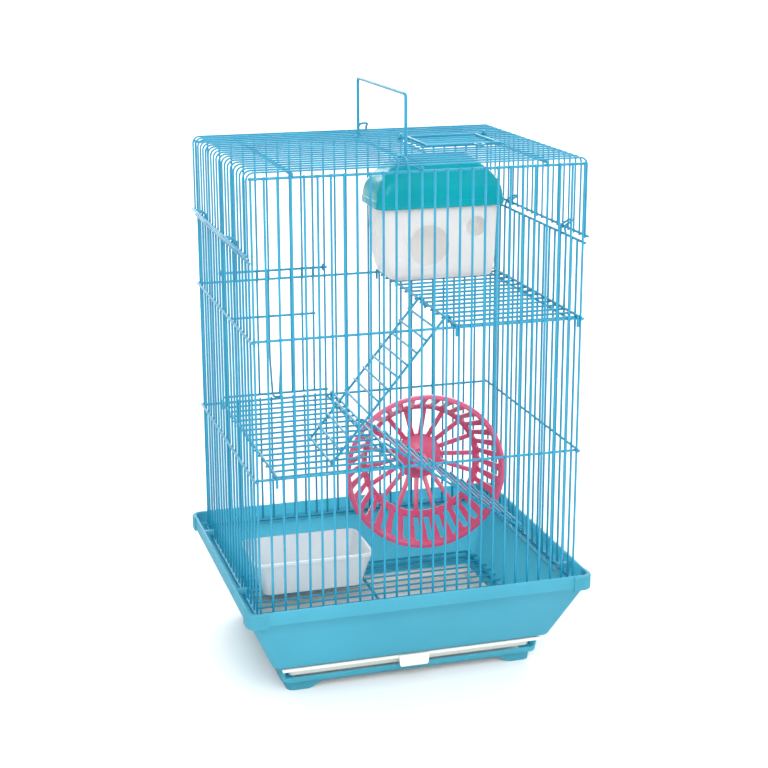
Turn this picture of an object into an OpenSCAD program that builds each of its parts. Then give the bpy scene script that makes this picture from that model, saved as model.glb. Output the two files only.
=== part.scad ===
/* [Wire box] */
// width of the wire box, corner upright to corner upright
cage_w = 275; // [264:1:290]
// depth of the wire box, front uprights to back uprights
cage_d = 228.7; // [222:0.5:238]
// height of the lower crosswires, which carry the middle shelf
mid_z = 200.4; // [196:0.2:206]
// height of the upper crosswires, which carry the upper shelf
up_z = 315.1; // [310:0.2:320]
// height of the top rail of the side panels
side_top_z = 378.1; // [370:0.5:384]
// height of the roof wires
roof_z = 447.9; // [444:0.5:460]
// length of the roof's drops below the roof wires
drop_h = 64.4; // [52:0.2:65]
// radius of a thin grid wire
wire_r = 1.0; // [0.9:0.05:1.1]
// radius of a rail or crosswire
rail_r = 1.1; // [1.0:0.05:1.25]
// radius of the heavy roof and floor wires
heavy_r = 1.4; // [1.25:0.05:1.55]
// depth to which crossing wires melt into each other where welded
weld = 0.3; // [0.2:0.05:0.4]
// bend radius of the roof wires at the sides
roof_bend = 6; // [4.5:0.5:8]
// distance of the outer heavy roof wires from the middle
heavy_x = 105; // [103:0.5:108]
// height of a spring tongue above its rail
tongue_h = 7; // [6:0.5:9]

/* [Base tub] */
// distance of the rim's face from the wire box
rim_margin = 12.6; // [11:0.2:14]
// height of the rim band
rim_h = 11.5; // [10:0.5:14]
// height of the ledge under the wire panels
ledge_z = 80; // [78:0.5:82]
// thickness of the moulded walls
wall = 2.2; // [1.8:0.1:2.6]
// inset of the tub's lower edge from the rim's face
tub_inset = 25.4; // [24:0.2:27]
// inset of the foot line from the rim's face
foot_inset = 40; // [38.5:0.5:42]
// height of the tub's lower edge
tub_z = 28.5; // [28:0.1:30]
// height of the arches between the feet
arch_h = 6.5; // [5:0.5:9]
// length of a foot along the side
foot_l = 17; // [12:1:30]
// height of the slot for the tray
slot_z = 13.9; // [13.2:0.1:14.6]
// length of a corner cap along the rim
cap_l = 16; // [12:1:22]
// depth of the step between the foot ring and the plinth
step_w = 4.2; // [3:0.2:5]
// distance by which a corner cap stands proud of the rim
cap_proud = 1.6; // [1:0.2:2.4]

/* [Tray and floor grille] */
// height of the tray's side walls
tray_h = 11; // [9:0.2:11]
// width of the tray's finger tab
tab_w = 28; // [22:1:36]
// travel of the tray out of its slot
tray_travel = 185; // [150:5:190]
// spacing of the floor grille wires
grille_pitch = 12.8; // [12.2:0.05:12.9]

/* [Shelves and ramps] */
// distance between the two rails of a shelf
shelf_w = 105.7; // [104.5:0.1:105.7]
// length of the stubs that hook a shelf over the crosswires
stub_h = 9; // [6:0.5:12]
// length of a ramp from its hook to its last rung
ramp_l = 152; // [148:0.5:154]
// width of a ramp between its stringers
ramp_w = 72; // [71.5:0.1:72.3]
// slope of the lower ramp at rest
low_slope = 35.8; // [32:0.2:38]
// number of rungs of a ramp
rungs = 12; // [10:1:13]

/* [Running wheel] */
// radius of the wheel's front ring
wheel_r = 75; // [70:0.5:75]
// radius of the wheel's rear ring
rear_r = 55; // [50:0.5:58]
// depth of the running surface from front ring to rear ring
tread_d = 37.7; // [34:0.5:40]
// depth from the front ring to the hub disc
hub_d = 50; // [48:0.5:51]
// radius of the hub disc
hub_r = 22.5; // [18:0.5:26]
// number of treads round the wheel
treads = 36; // [30:2:40]
// number of spokes in the back of the wheel
spokes = 18; // [12:2:20]
// height of the wheel's axle
wheel_z = 136.4; // [134:0.2:137]
// angle by which the wheel is turned to the side
wheel_yaw = 9.5; // [8:0.5:14]
// radius of the wheel's steel axle
axle_r = 2.5; // [2:0.1:3]
// running clearance of hinges and of the axle, on the radius
run_gap = 0.08; // [0.05:0.01:0.1]

/* [House and dish] */
// length of the house body at its top
house_l = 111; // [100:1:113]
// depth of the house body at its top
house_w = 55; // [50:1:56]
// height of the house body
house_h = 70; // [64:1:74]
// height of the house roof above its rim
gable_h = 41; // [30:1:41]
// radius of the house entrance
door_r = 18.8; // [16:0.2:20]
// radius of the house window
window_r = 9.2; // [7:0.2:10]
// length of the feeding dish at its rim
dish_l = 113.5; // [100:0.5:118]
// width of the feeding dish at its rim
dish_w = 70.5; // [62:0.5:74]
// height of the feeding dish
dish_h = 35; // [28:0.5:40]

/* [Carry handle] */
// height of the carry handle above its pivot
handle_h = 53; // [44:1:60]
// radius of the handle's wire
handle_r = 1.4; // [1.2:0.1:1.6]

/* [Hidden] */
// smallest gap between parts that sit on each other
seat = 0.3;
// overshoot of a cut beyond the face that it opens
cut = 1;
// plate thickness used where a sloped shell starts or ends
slab = 0.1;
wire_fn = 24;
round_fn = 64;
hull_fn = 32;

// plan of the wires
front_n = 26;
side_n = 19;
pitch_x = cage_w / front_n;
pitch_y = cage_d / side_n;
box_x = cage_w / 2;
box_y = cage_d / 2;
cross_in = wire_r + rail_r - weld;
cross_y = box_y - cross_in;
loop_r = wire_r + run_gap + rail_r;
side_rail_x = box_x + loop_r;
side_x = side_rail_x - cross_in;
bottom_z = ledge_z + seat + rail_r;
heavy_drop = wire_r + heavy_r - weld;
heavy_z = roof_z - heavy_drop;
top_z = heavy_z - heavy_r - seat - rail_r;
drop_x = side_x + 2 * wire_r + seat + run_gap;
drop_rail_x = drop_x + cross_in;
drop_z = roof_z - drop_h;
roof_edge = box_y - 2 * wire_r - seat;
roof_pitch = 2 * roof_edge / side_n;
tongue_gap = 3.5;
lean = 35;
lean_l = 5.6;
hook_turn = 95;

// doors
door_first = 3;
door_last = 10;
hinge_lift = 6.6;
hinge_over = 3;
ring_r = rail_r + 0.1;
ring_c = rail_r + run_gap + ring_r;
hinge_y = box_y + wire_r - weld + ring_c + ring_r;
hinge_z = up_z + hinge_lift;
door_y = hinge_y - cross_in;
door_bottom = mid_z + 4.1;
door_mid = mid_z + 78.1;
latch_rise = 40;
latch_top = mid_z + latch_rise;
latch_k = 6.5;

hatch_first = 8;
hatch_last = 12;
hatch_x0 = 29;
hatch_gap = 0.4;
hatch_wire_z = heavy_z + heavy_r + seat + wire_r;
hatch_z = hatch_wire_z + cross_in;
hatch_ring = (hatch_z - heavy_z - heavy_r + weld - rail_r - run_gap) / 2;
hatch_hinge_y = roof_y(hatch_last + 0.5);
hatch_front_y = roof_y(hatch_first - 0.55);
hatch_side = 5;
hatch_far = 8;
heavy_over = 7;
frame_over = 2;
snap_x = 78;

// base
rim_x = box_x + rim_margin;
rim_y = box_y + rim_margin;
rim_top = ledge_z + rim_h - 0.3;
rim_z = ledge_z - 0.3;
tub_step = 2.4;
tub_corner = 7;
edge_corner = 9;
plinth_corner = 7;
foot_corner = 6;
step_z = 9.5;
ring_draft = 0.8;
plinth_draft = 2.4;
arch_run = 15;
plinth_z = tub_z - 2.5;
plinth_inset = foot_inset - ring_draft - step_w - plinth_draft;
flange_w = 14;
ledge_in = rim_margin + cross_in + rail_r + 0.6;
floor_z = tub_z;
lug_l = 6;
foot_y = rim_y - foot_inset;
runner_in = 6;
runner_w = 8;
tray_half = rim_x - foot_inset + 0.5;
tray_z = slot_z;
slot_half = rim_x - plinth_inset - plinth_draft - wall;
lip_over = 6;
lip_h = 3.2;
lip_t = 2;
tab_taper = 2;
tab_drop = 0.4;
tray_front = rim_y - foot_inset + 3;
lip_y = rim_y - plinth_inset + seat;
tray_back = foot_y - wall - 2;

// grille
grille_rows = 16;
grille_over = 5;
grille_y = grille_pitch * (grille_rows - 1) / 2;
grille_half = rim_x - tub_inset - wall - 1.3;
grille_z = floor_z + seat + heavy_r;
grille_wire_z = grille_z + heavy_r + wire_r - weld;

// shelves and ramps
shelf_rows = 16;
shelf_y = cross_y - rail_r - wire_r - 2 * seat;
shelf_pitch = 2 * shelf_y / (shelf_rows - 1);
shelf_lift = 2 * rail_r + 0.2;
mid_rail_z = mid_z + shelf_lift;
latch_z = mid_rail_z - cross_in + 2 * wire_r + seat;
up_rail_z = up_z + shelf_lift;
mid_shelf_x = -box_x + 1.5 * pitch_x;
mat_over = 1.4;
up_shelf_x = box_x - mat_over - wire_r - shelf_w;
loop_rail = 2 * rail_r + run_gap;
stop_in = 2 * rail_r + loop_rail + seat;
rung_lift = loop_rail + cross_in;
rung_start = 12.3;
rung_over = 1.7;
rung_pitch = (ramp_l - rung_start) / (rungs - 1);
tail_h = 8;
foot_drop = up_rail_z - (mid_rail_z - cross_in + 2 * wire_r + seat);
up_slope = asin(foot_drop / norm([ramp_l, rung_lift])) + atan2(rung_lift, ramp_l);
low_ramp_y = -62;
up_ramp_y = -91.5;

// wheel
wheel_x = 56;
wheel_y = 45;
boss_r = 7;
tread_t = 2.2;
ring_w = 4;
slot_w = 5.2;
spoke_w = 4.4;
spoke_phase = 0.22;
spoke_run = rear_r - hub_r - 1;
spoke_fall = hub_d - tread_d - 0.5;
hub_t = 3;
cone_h = 8;
boss_l = 12;
cap_t = 1.7;
cap_room = 2.3;
cap_h = 8;
clip_t = 1.2;
clip_w = 2.6;
clip_at = 0.8;
axle_front = hub_d - boss_l - 3;
axle_back = hub_d + hub_t + 14;
plate_y = cross_y - rail_r - 3.3;
bracket_h = 44;
jaw_first = 19;
jaw_last = 21;
jaw_w = 5.6;
jaw_h = 32;

// house and dish
house_x = 71.5;
house_y = 77.5;
house_z = up_rail_z - cross_in + wire_r + seat;
house_draw = 12;
house_lean = 4;
house_corner = 9;
door_x = 60.3;
door_h = 32.6;
window_x = 104.5;
window_h = 48.2;
lid_x = house_l / 2 + 5;
lid_y = house_w / 2 + 4;
lid_corner = 10;
lid_skirt = 3;
lid_curve = 2.15;
ridge_x = 30;
ridge_y = 7;
dish_taper = 10.2;
dish_lip = 1.5;
dish_band = 3.5;
dish_corner = 8;
dish_x = -54.5;
dish_y = 65;
dish_z = grille_wire_z + wire_r + seat;

// handle
loop_y = roof_y(15.5);
loop_wire_r = handle_r - 0.1;
tail_wire_r = handle_r - 0.2;
handle_loop = heavy_r + run_gap + loop_wire_r;
handle_bend = 3.5;
tail_l = 4;

function front_x(k) = -box_x + k * pitch_x;
function side_y(k) = -box_y + k * pitch_y;
function roof_y(k) = -roof_edge + k * roof_pitch;
function shelf_row(k) = -shelf_y + k * shelf_pitch;

module rod(a, b, r) {
    d = b - a;
    translate(a)
        rotate([0, acos(d[2] / norm(d)), atan2(d[1], d[0])])
            cylinder(h = norm(d), r = r, $fn = wire_fn);
}

module bead(p, r) {
    translate(p) sphere(r = r + 0.03, $fn = wire_fn);
}

module bent(points, r) {
    for (i = [0 : len(points) - 2])
        rod(points[i], points[i + 1], r);
    for (p = points)
        bead(p, r);
}

module arc(centre_r, r, angle) {
    rotate_extrude(angle = angle, $fn = round_fn)
        translate([centre_r, 0])
            circle(r = r, $fn = wire_fn);
}

module rounded(w, d, r) {
    square([w - 2 * r, d], center = true);
    square([w, d - 2 * r], center = true);
    for (sx = [-1, 1], sy = [-1, 1])
        translate([sx * (w / 2 - r), sy * (d / 2 - r)])
            circle(r = r, $fn = hull_fn);
}

module sheet(half_x, half_y, r, z) {
    translate([0, 0, z])
        linear_extrude(slab)
            rounded(2 * half_x, 2 * half_y, r);
}

// two wires that lean together and end in a loop bent over the edge of the next panel
module tongue(spread, aside = 0) {
    for (s = [-1, 1])
        bent([[s * spread / 2 - aside, 0, 0], [s * tongue_gap, 0, tongue_h],
              [s * tongue_gap, lean_l * sin(lean), tongue_h + lean_l * cos(lean)]], wire_r);
    translate([0, lean_l * sin(lean), tongue_h + lean_l * cos(lean)])
        rotate([90 - lean, 0, 0])
            arc(tongue_gap, wire_r, 180);
}

module front_grid(skip_from, skip_to) {
    for (k = [0 : front_n]) {
        low_top = (k >= skip_from && k <= skip_to) ? mid_z + rail_r / 2 : top_z + rail_r / 2;
        rod([front_x(k), -box_y, bottom_z - rail_r / 2], [front_x(k), -box_y, low_top], wire_r);
        if (k >= skip_from && k <= skip_to)
            rod([front_x(k), -box_y, up_z - rail_r / 2], [front_x(k), -box_y, top_z + rail_r / 2], wire_r);
    }
    for (z = [bottom_z, mid_z, up_z, top_z])
        rod([-box_x - wire_r / 2, -cross_y, z], [box_x + wire_r / 2, -cross_y, z], rail_r);
    translate([front_x(11.5), -box_y, top_z + rail_r / 2])
        tongue(pitch_x);
}

module side_grid() {
    for (k = [1 : side_n - 1])
        rod([side_x, side_y(k), bottom_z - rail_r / 2], [side_x, side_y(k), side_top_z + rail_r / 2],
            wire_r);
    for (z = [bottom_z, side_top_z])
        rod([side_rail_x, -box_y, z], [side_rail_x, box_y, z], rail_r);
    for (z = [mid_z, up_z]) {
        rod([side_rail_x, -box_y, z], [side_rail_x, box_y, z], rail_r);
        bead([side_rail_x, -box_y, z], rail_r);
        bead([side_rail_x, box_y, z], rail_r);
        translate([box_x, -box_y, z])
            rotate([0, 0, -hook_turn])
                arc(loop_r, rail_r, hook_turn);
        translate([box_x, box_y, z])
            arc(loop_r, rail_r, hook_turn);
    }
    for (k = [3.5, 14.5])
        translate([side_x, roof_y(k), side_top_z + rail_r / 2])
            rotate([0, 0, -90])
                tongue(pitch_y, side_y(k) - roof_y(k));
}

module base_tub() color("#5FB8D2") {
    difference() {
        union() {
            hull() {
                sheet(rim_x - plinth_inset, rim_y - plinth_inset, plinth_corner, plinth_z);
                sheet(rim_x - tub_inset, rim_y - tub_inset, edge_corner, tub_z);
                sheet(rim_x - tub_step, rim_y - tub_step, tub_corner, rim_z);
            }
            plinth(0, 0, plinth_z);
        }
        hull() {
            sheet(rim_x - tub_inset - wall, rim_y - tub_inset - wall, edge_corner - wall, floor_z);
            sheet(rim_x - tub_step - wall, rim_y - tub_step - wall, tub_corner - wall, rim_z + cut / 2);
        }
        plinth(wall, wall, plinth_z - slab);
        translate([0, 0, plinth_z - cut])
            linear_extrude(floor_z - plinth_z + 2 * cut)
                rounded(2 * (rim_x - tub_inset - flange_w), 2 * (rim_y - tub_inset - flange_w), wall);
        translate([-slot_half, -rim_y, slot_z])
            cube([2 * slot_half, foot_inset + foot_corner / 2, plinth_z - slot_z - slab]);
        for (turn = [0, 90])
            rotate([0, 0, turn])
                arch_cut(turn == 0 ? rim_x - foot_inset - foot_l : rim_y - foot_inset - foot_l);
    }
    rim();
    ledge();
    for (s = [-1, 1])
        scale([s, s, 1]) {
            lug(-7);
            lug(5);
            translate([tray_half - runner_in, wall / 2 - foot_y, step_z + wall / 2])
                cube([runner_w, 2 * foot_y - wall, slot_z - seat - step_z - wall / 2]);
        }
}

// the plinth is a low ring of feet under a slightly wider box
module plinth(shrink, lift, top) {
    foot_x = rim_x - foot_inset - shrink;
    box_in = plinth_inset + shrink;
    hull() {
        sheet(foot_x, foot_y - shrink, foot_corner - shrink, -lift);
        sheet(foot_x + ring_draft, foot_y + ring_draft - shrink, foot_corner - shrink, step_z + lift + seat);
    }
    hull() {
        sheet(rim_x - box_in - plinth_draft, rim_y - box_in - plinth_draft, plinth_corner - shrink, step_z + lift);
        sheet(rim_x - box_in, rim_y - box_in, plinth_corner - shrink, top);
    }
}

module arch_cut(half) {
    rotate([90, 0, 0])
        translate([0, 0, -rim_x])
            linear_extrude(2 * rim_x)
                polygon([[-half, -cut], [arch_run / 4 - half, arch_h / 6], [arch_run * 3 / 4 - half, arch_h * 5 / 6],
                         [arch_run - half, arch_h], [half - arch_run, arch_h],
                         [half - arch_run * 3 / 4, arch_h * 5 / 6], [half - arch_run / 4, arch_h / 6],
                         [half, -cut]]);
}

module rim() {
    difference() {
        union() {
            translate([0, 0, rim_z])
                linear_extrude(rim_top - rim_z)
                    rounded(2 * rim_x, 2 * rim_y, tub_corner + 1);
            translate([0, 0, rim_z - 2])
                linear_extrude(rim_top - rim_z + 2 - seat)
                    intersection() {
                        rounded(2 * (rim_x + cap_proud), 2 * (rim_y + cap_proud), tub_corner + 2);
                        for (sx = [-1, 1], sy = [-1, 1])
                            translate([sx * rim_x, sy * rim_y])
                                square(2 * cap_l, center = true);
                    }
        }
        translate([0, 0, rim_z - 2 - cut])
            linear_extrude(rim_h + 4 + cut)
                rounded(2 * (rim_x - wall), 2 * (rim_y - wall), tub_corner - 1);
    }
}

module ledge() {
    translate([0, 0, ledge_z - wall])
        linear_extrude(wall)
            difference() {
                rounded(2 * (rim_x - wall / 2), 2 * (rim_y - wall / 2), tub_corner);
                rounded(2 * (rim_x - ledge_in), 2 * (rim_y - ledge_in), tub_corner / 2);
            }
}

module lug(k) {
    reach = rim_margin - loop_r + cross_in + wire_r + wall;
    translate([rim_x - reach, k * pitch_y - lug_l / 2, bottom_z + rail_r + seat])
        cube([reach - wall / 2, lug_l, rim_top - bottom_z - rail_r - 2 * seat]);
}

module slide_tray() color("#E8E6E1") {
    difference() {
        translate([-tray_half, -tray_front, tray_z])
            cube([2 * tray_half, tray_front + tray_back, tray_h]);
        translate([-tray_half + wall, -tray_front + wall, tray_z + wall])
            cube([2 * (tray_half - wall), tray_front + tray_back - 2 * wall, tray_h]);
    }
    translate([-tray_half, -lip_y - lip_t / 2, tray_z + tray_h - wall])
        cube([2 * tray_half, lip_y - tray_front + lip_t, wall]);
    translate([-tray_half - lip_over, -lip_y - lip_t, tray_z + tray_h - lip_h])
        cube([2 * (tray_half + lip_over), lip_t, lip_h]);
    translate([0, -lip_y - lip_t / 2, tray_z + tray_h])
        rotate([90, 0, 0])
            linear_extrude(lip_t)
                polygon([[-tab_w / 2, -1], [tab_w / 2, -1], [tab_w / 2 - tab_taper, -tray_h - tab_drop],
                         [tab_taper - tab_w / 2, -tray_h - tab_drop]]);
}

module floor_grille() color("#4DAFD0") {
    for (k = [0 : grille_rows - 1]) {
        y = k * grille_pitch - grille_y;
        half = abs(y) > grille_y - 1 ? grille_half - grille_over / 2 : grille_half;
        rod([-half, y, grille_wire_z], [half, y, grille_wire_z], wire_r);
    }
    for (x = [-grille_half + grille_over, 0, grille_half - grille_over])
        rod([x, -grille_y - 1.2, grille_z], [x, grille_y + 1.2, grille_z], heavy_r);
}

module front_panel() color("#4DAFD0") front_grid(1, 0);

module back_panel() color("#4DAFD0") {
    rotate([0, 0, 180])
        front_grid(front_n - door_last, front_n - door_first);
    for (k = [door_first - 1, door_last + 1])
        translate([front_x(k), hinge_y, hinge_z])
            rotate([0, 90, 0])
                arc(ring_c, ring_r, 360);
}

module right_panel() color("#4DAFD0") side_grid();

module left_panel() color("#4DAFD0") rotate([0, 0, 180]) side_grid();

module roof_side(y, from_x) {
    rod([from_x, y, roof_z], [drop_x - roof_bend, y, roof_z], wire_r);
    translate([drop_x - roof_bend, y, roof_z - roof_bend])
        rotate([90, 0, 0])
            arc(roof_bend, wire_r, 90);
    rod([drop_x, y, roof_z - roof_bend], [drop_x, y, drop_z - rail_r / 2], wire_r);
}

module roof_panel() color("#4DAFD0") {
    for (k = [0 : side_n]) {
        is_open = k >= hatch_first && k <= hatch_last;
        if (is_open) {
            roof_side(roof_y(k), heavy_x + hatch_gap / 2);
            rod([0, roof_y(k), roof_z], [hatch_x0 - hatch_gap / 2, roof_y(k), roof_z], wire_r);
        } else {
            roof_side(roof_y(k), 0);
        }
        mirror([1, 0, 0])
            roof_side(roof_y(k), 0);
    }
    for (x = [-heavy_x, 0, heavy_x])
        rod([x, -box_y - 1, heavy_z], [x, box_y + heavy_over, heavy_z], heavy_r);
    rod([hatch_x0, roof_y(hatch_first - 1) - frame_over, heavy_z],
        [hatch_x0, roof_y(hatch_last + 1) + frame_over, heavy_z], heavy_r);
    for (s = [-1, 1])
        rod([s * drop_rail_x, -box_y, drop_z], [s * drop_rail_x, box_y, drop_z], rail_r);
    for (x = [hatch_x0, heavy_x])
        translate([x, hatch_hinge_y, hatch_z])
            rotate([0, 90, 0])
                arc(rail_r + run_gap + hatch_ring, hatch_ring, 360);
}

module back_door() color("#4DAFD0") {
    rod([front_x(door_first - 1) - hinge_over, hinge_y, hinge_z],
        [front_x(door_last + 1) + hinge_over, hinge_y, hinge_z], rail_r);
    rod([front_x(door_first) - frame_over, hinge_y, door_mid],
        [front_x(door_last) + frame_over, hinge_y, door_mid], rail_r);
    rod([front_x(door_first - 1) - frame_over, door_y, door_bottom],
        [front_x(door_last + 1) + frame_over, door_y, door_bottom], rail_r);
    for (k = [door_first : door_last])
        if (abs(k - latch_k) < 1) {
            leg_x = front_x(latch_k) + sign(k - latch_k) * tongue_gap;
            bent([[front_x(k), door_y, hinge_z + wire_r], [front_x(k), door_y, latch_top],
                  [leg_x, door_y, latch_z + 2 * wire_r], [leg_x, cross_y, latch_z]], wire_r);
        } else {
            rod([front_x(k), door_y, hinge_z + wire_r], [front_x(k), door_y, door_bottom], wire_r);
        }
    translate([front_x(latch_k), cross_y, latch_z])
        rotate([0, 0, 180])
            arc(tongue_gap, wire_r, 180);
}

module roof_door() color("#4DAFD0") {
    rod([hatch_x0 - hinge_over, hatch_hinge_y, hatch_z], [heavy_x + hinge_over, hatch_hinge_y, hatch_z],
        rail_r);
    for (x = [hatch_x0 + hatch_side, heavy_x - hatch_far])
        rod([x, hatch_hinge_y, hatch_z], [x, hatch_front_y, hatch_z], wire_r);
    rod([hatch_x0 + hatch_side - frame_over, hatch_front_y, hatch_z],
        [heavy_x - hatch_far + frame_over, hatch_front_y, hatch_z], rail_r);
    for (k = [hatch_first : hatch_last])
        rod([hatch_x0 + hatch_gap / 2, roof_y(k), hatch_wire_z],
            [heavy_x - hatch_gap / 2, roof_y(k), hatch_wire_z], wire_r);
    for (s = [-1, 1])
        bent([[snap_x + s * tongue_gap, hatch_front_y - 0.2, hatch_z],
              [snap_x + s * tongue_gap, roof_y(hatch_first - 1) - wire_r, hatch_z]], wire_r);
    translate([snap_x, roof_y(hatch_first - 1) - wire_r, hatch_z])
        rotate([0, 0, 180])
            arc(tongue_gap, wire_r, 180);
}

module carry_handle() color("#4DAFD0") {
    leg = handle_h - handle_bend;
    for (s = [-1, 1]) {
        translate([0, s * loop_y, heavy_z])
            rotate([90, 0, 0])
                arc(handle_loop, loop_wire_r, 360);
        rod([0, s * loop_y, heavy_z + handle_loop], [0, s * loop_y, heavy_z + leg], handle_r);
        bead([0, s * loop_y, heavy_z + leg], handle_r);
        bead([0, s * (loop_y - handle_bend), heavy_z + handle_h], handle_r);
        translate([0, s * (loop_y - handle_bend), heavy_z + leg])
            rotate([90, 0, s > 0 ? 90 : -90])
                arc(handle_bend, handle_r, 90);
        rod([handle_loop, s * loop_y, heavy_z], [handle_loop, s * (loop_y - tail_l), heavy_z], tail_wire_r);
    }
    rod([0, handle_bend - loop_y, heavy_z + handle_h],
        [0, loop_y - handle_bend, heavy_z + handle_h], handle_r);
}

module shelf(x, cross_z) {
    rail_z = cross_z + shelf_lift;
    for (dx = [0, shelf_w]) {
        rod([x + dx, -cross_y - shelf_lift, rail_z], [x + dx, cross_y + shelf_lift, rail_z], rail_r);
        for (s = [-1, 1]) {
            rod([x + dx, s * (cross_y + shelf_lift), rail_z],
                [x + dx, s * (cross_y + shelf_lift), rail_z - stub_h], rail_r);
            bead([x + dx, s * (cross_y + shelf_lift), rail_z], rail_r);
        }
    }
    for (k = [0 : shelf_rows - 1])
        rod([x - mat_over, shelf_row(k), rail_z - cross_in],
            [x + shelf_w + mat_over, shelf_row(k), rail_z - cross_in], wire_r);
    rod([x + shelf_w - stop_in, -shelf_y - 1, rail_z - 2 * cross_in],
        [x + shelf_w - stop_in, shelf_y + 1, rail_z - 2 * cross_in], rail_r);
}

module middle_shelf() color("#4DAFD0") shelf(mid_shelf_x, mid_z);

module upper_shelf() color("#4DAFD0") shelf(up_shelf_x, up_z);

// ladder along +X from the hook's axis, rungs upwards
module ladder(slope) {
    rotate([0, slope, 0]) {
        for (s = [0, 1])
            translate([0, s * ramp_w, 0]) {
                rod([0, 0, loop_rail], [ramp_l + rung_over, 0, loop_rail], rail_r);
                rotate([90, 0, 0])
                    rotate([0, 0, 90])
                        arc(loop_rail, rail_r, 90 + low_slope);
                rotate([0, -low_slope, 0])
                    bent([[-loop_rail, 0, 0], [-loop_rail, 0, -tail_h]], rail_r);
            }
        for (k = [0 : rungs - 1])
            rod([ramp_l - k * rung_pitch, -1, rung_lift], [ramp_l - k * rung_pitch, ramp_w + 1, rung_lift],
                wire_r);
    }
}

module lower_ramp() color("#4DAFD0")
    translate([mid_shelf_x + shelf_w, low_ramp_y, mid_rail_z])
        ladder(low_slope);

module upper_ramp() color("#4DAFD0")
    translate([up_shelf_x, up_ramp_y + ramp_w, up_rail_z])
        rotate([0, 0, 180])
            ladder(up_slope);

module wheel_place() {
    translate([wheel_x, wheel_y, wheel_z])
        rotate([0, 0, -wheel_yaw])
            rotate([-90, 0, 0])
                children();
}

module running_wheel() color("#D4607F") wheel_place() {
    difference() {
        rotate_extrude($fn = round_fn)
            polygon([[wheel_r - ring_w, 0], [wheel_r - 1, 0], [wheel_r, 1], [wheel_r, ring_w],
                     [rear_r + tread_t / 2, tread_d - 2], [rear_r + tread_t / 2, tread_d + 2],
                     [rear_r - ring_w, tread_d + 2], [rear_r - ring_w, tread_d],
                     [rear_r - tread_t, tread_d - 2], [wheel_r - ring_w, 2]]);
        for (k = [0 : treads - 1])
            rotate([0, 0, (k + 0.5) * 360 / treads])
                translate([rear_r - 2 * ring_w, -slot_w / 2, ring_w + 2])
                    cube([wheel_r - rear_r + 2 * ring_w, slot_w, tread_d - 2 * ring_w - 2]);
    }
    for (k = [0 : spokes - 1])
        rotate([0, 0, 90 + (k + spoke_phase) * 360 / spokes])
            translate([hub_r - 2, -spoke_w / 2, hub_d + 0.2])
                rotate([0, atan2(spoke_fall, spoke_run), 0])
                    cube([norm([spoke_run, spoke_fall]), spoke_w, tread_t]);
    difference() {
        union() {
            translate([0, 0, hub_d])
                cylinder(h = hub_t, r = hub_r, $fn = round_fn);
            translate([0, 0, hub_d - cone_h])
                cylinder(h = cone_h + 1, r1 = boss_r + 2, r2 = hub_r - 4, $fn = round_fn);
            translate([0, 0, hub_d - boss_l])
                cylinder(h = boss_l + hub_t, r = boss_r, $fn = round_fn);
        }
        translate([0, 0, hub_d - boss_l - cut])
            cylinder(h = boss_l + hub_t + 2 * cut, r = axle_r + run_gap, $fn = round_fn);
    }
}

module wheel_hub_cap() color("#D4607F") wheel_place() {
    difference() {
        translate([0, 0, axle_front - cap_t - cap_room])
            cylinder(h = cap_h, r = boss_r + cap_t, $fn = round_fn);
        translate([0, 0, axle_front - cap_room])
            cylinder(h = cap_h, r = boss_r + seat / 4, $fn = round_fn);
    }
}

module wheel_axle() color("#C8CCD0") wheel_place()
    translate([0, 0, axle_front - 1])
        cylinder(h = axle_back - axle_front + 1, r = axle_r, $fn = round_fn);

module axle_clip() color("#C8CCD0") wheel_place()
    translate([0, 0, axle_front + clip_at])
        difference() {
            cylinder(h = clip_t, r = axle_r + clip_w, $fn = round_fn);
            translate([0, 0, -cut])
                cylinder(h = clip_t + 2 * cut, r = axle_r, $fn = round_fn);
        }

module wheel_bracket() color("#D4607F") {
    plate_t = cross_y + rail_r - plate_y;
    back_y = box_y - wire_r - seat;
    difference() {
        union() {
            translate([front_x(jaw_first - 0.5), plate_y, wheel_z - bracket_h / 2])
                cube([(jaw_last - jaw_first + 1) * pitch_x, back_y - plate_y, bracket_h]);
            wheel_place()
                translate([0, 0, hub_d + hub_t + seat])
                    cylinder(h = axle_back - hub_d, r = boss_r, $fn = round_fn);
        }
        translate([0, back_y, 0])
            cube([cage_w, 3 * plate_t, cage_d]);
        wheel_place()
            cylinder(h = axle_back, r = axle_r, $fn = round_fn);
    }
    for (k = [jaw_first, jaw_last])
        translate([front_x(k), box_y, wheel_z - jaw_h / 2])
            difference() {
                translate([-jaw_w / 2, back_y - box_y - 1, 0])
                    cube([jaw_w, 2 * wire_r + seat + wall, jaw_h]);
                translate([0, 0, -cut])
                    cylinder(h = jaw_h + 2 * cut, r = wire_r + run_gap, $fn = wire_fn);
                translate([weld - wire_r, 0, -cut])
                    cube([2 * (wire_r - weld), jaw_w, jaw_h + 2 * cut]);
            }
}

// the wall draws in towards the floor along a curve, step by step
module house_shell(shrink, top) {
    hull() {
        for (t = [0, 0.1, 0.3, 0.6, 1]) {
            foot = pow(1 - t, 4);
            inset = shrink + house_draw * foot;
            translate([house_lean * foot, 0, 0])
                sheet(house_l / 2 - inset, house_w / 2 - inset, house_corner - inset / 2,
                      shrink + t * (top - shrink));
        }
    }
}

module house_body() color("#E9E8EA") translate([house_x, house_y, house_z])
    difference() {
        house_shell(0, house_h - slab);
        house_shell(wall, house_h + cut);
        translate([door_x - house_x, 0, door_h])
            rotate([90, 0, 0])
                cylinder(h = house_w, r = door_r, $fn = round_fn);
        translate([window_x - house_x, 0, window_h])
            rotate([90, 0, 0])
                cylinder(h = house_w, r = window_r, $fn = round_fn);
    }

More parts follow.
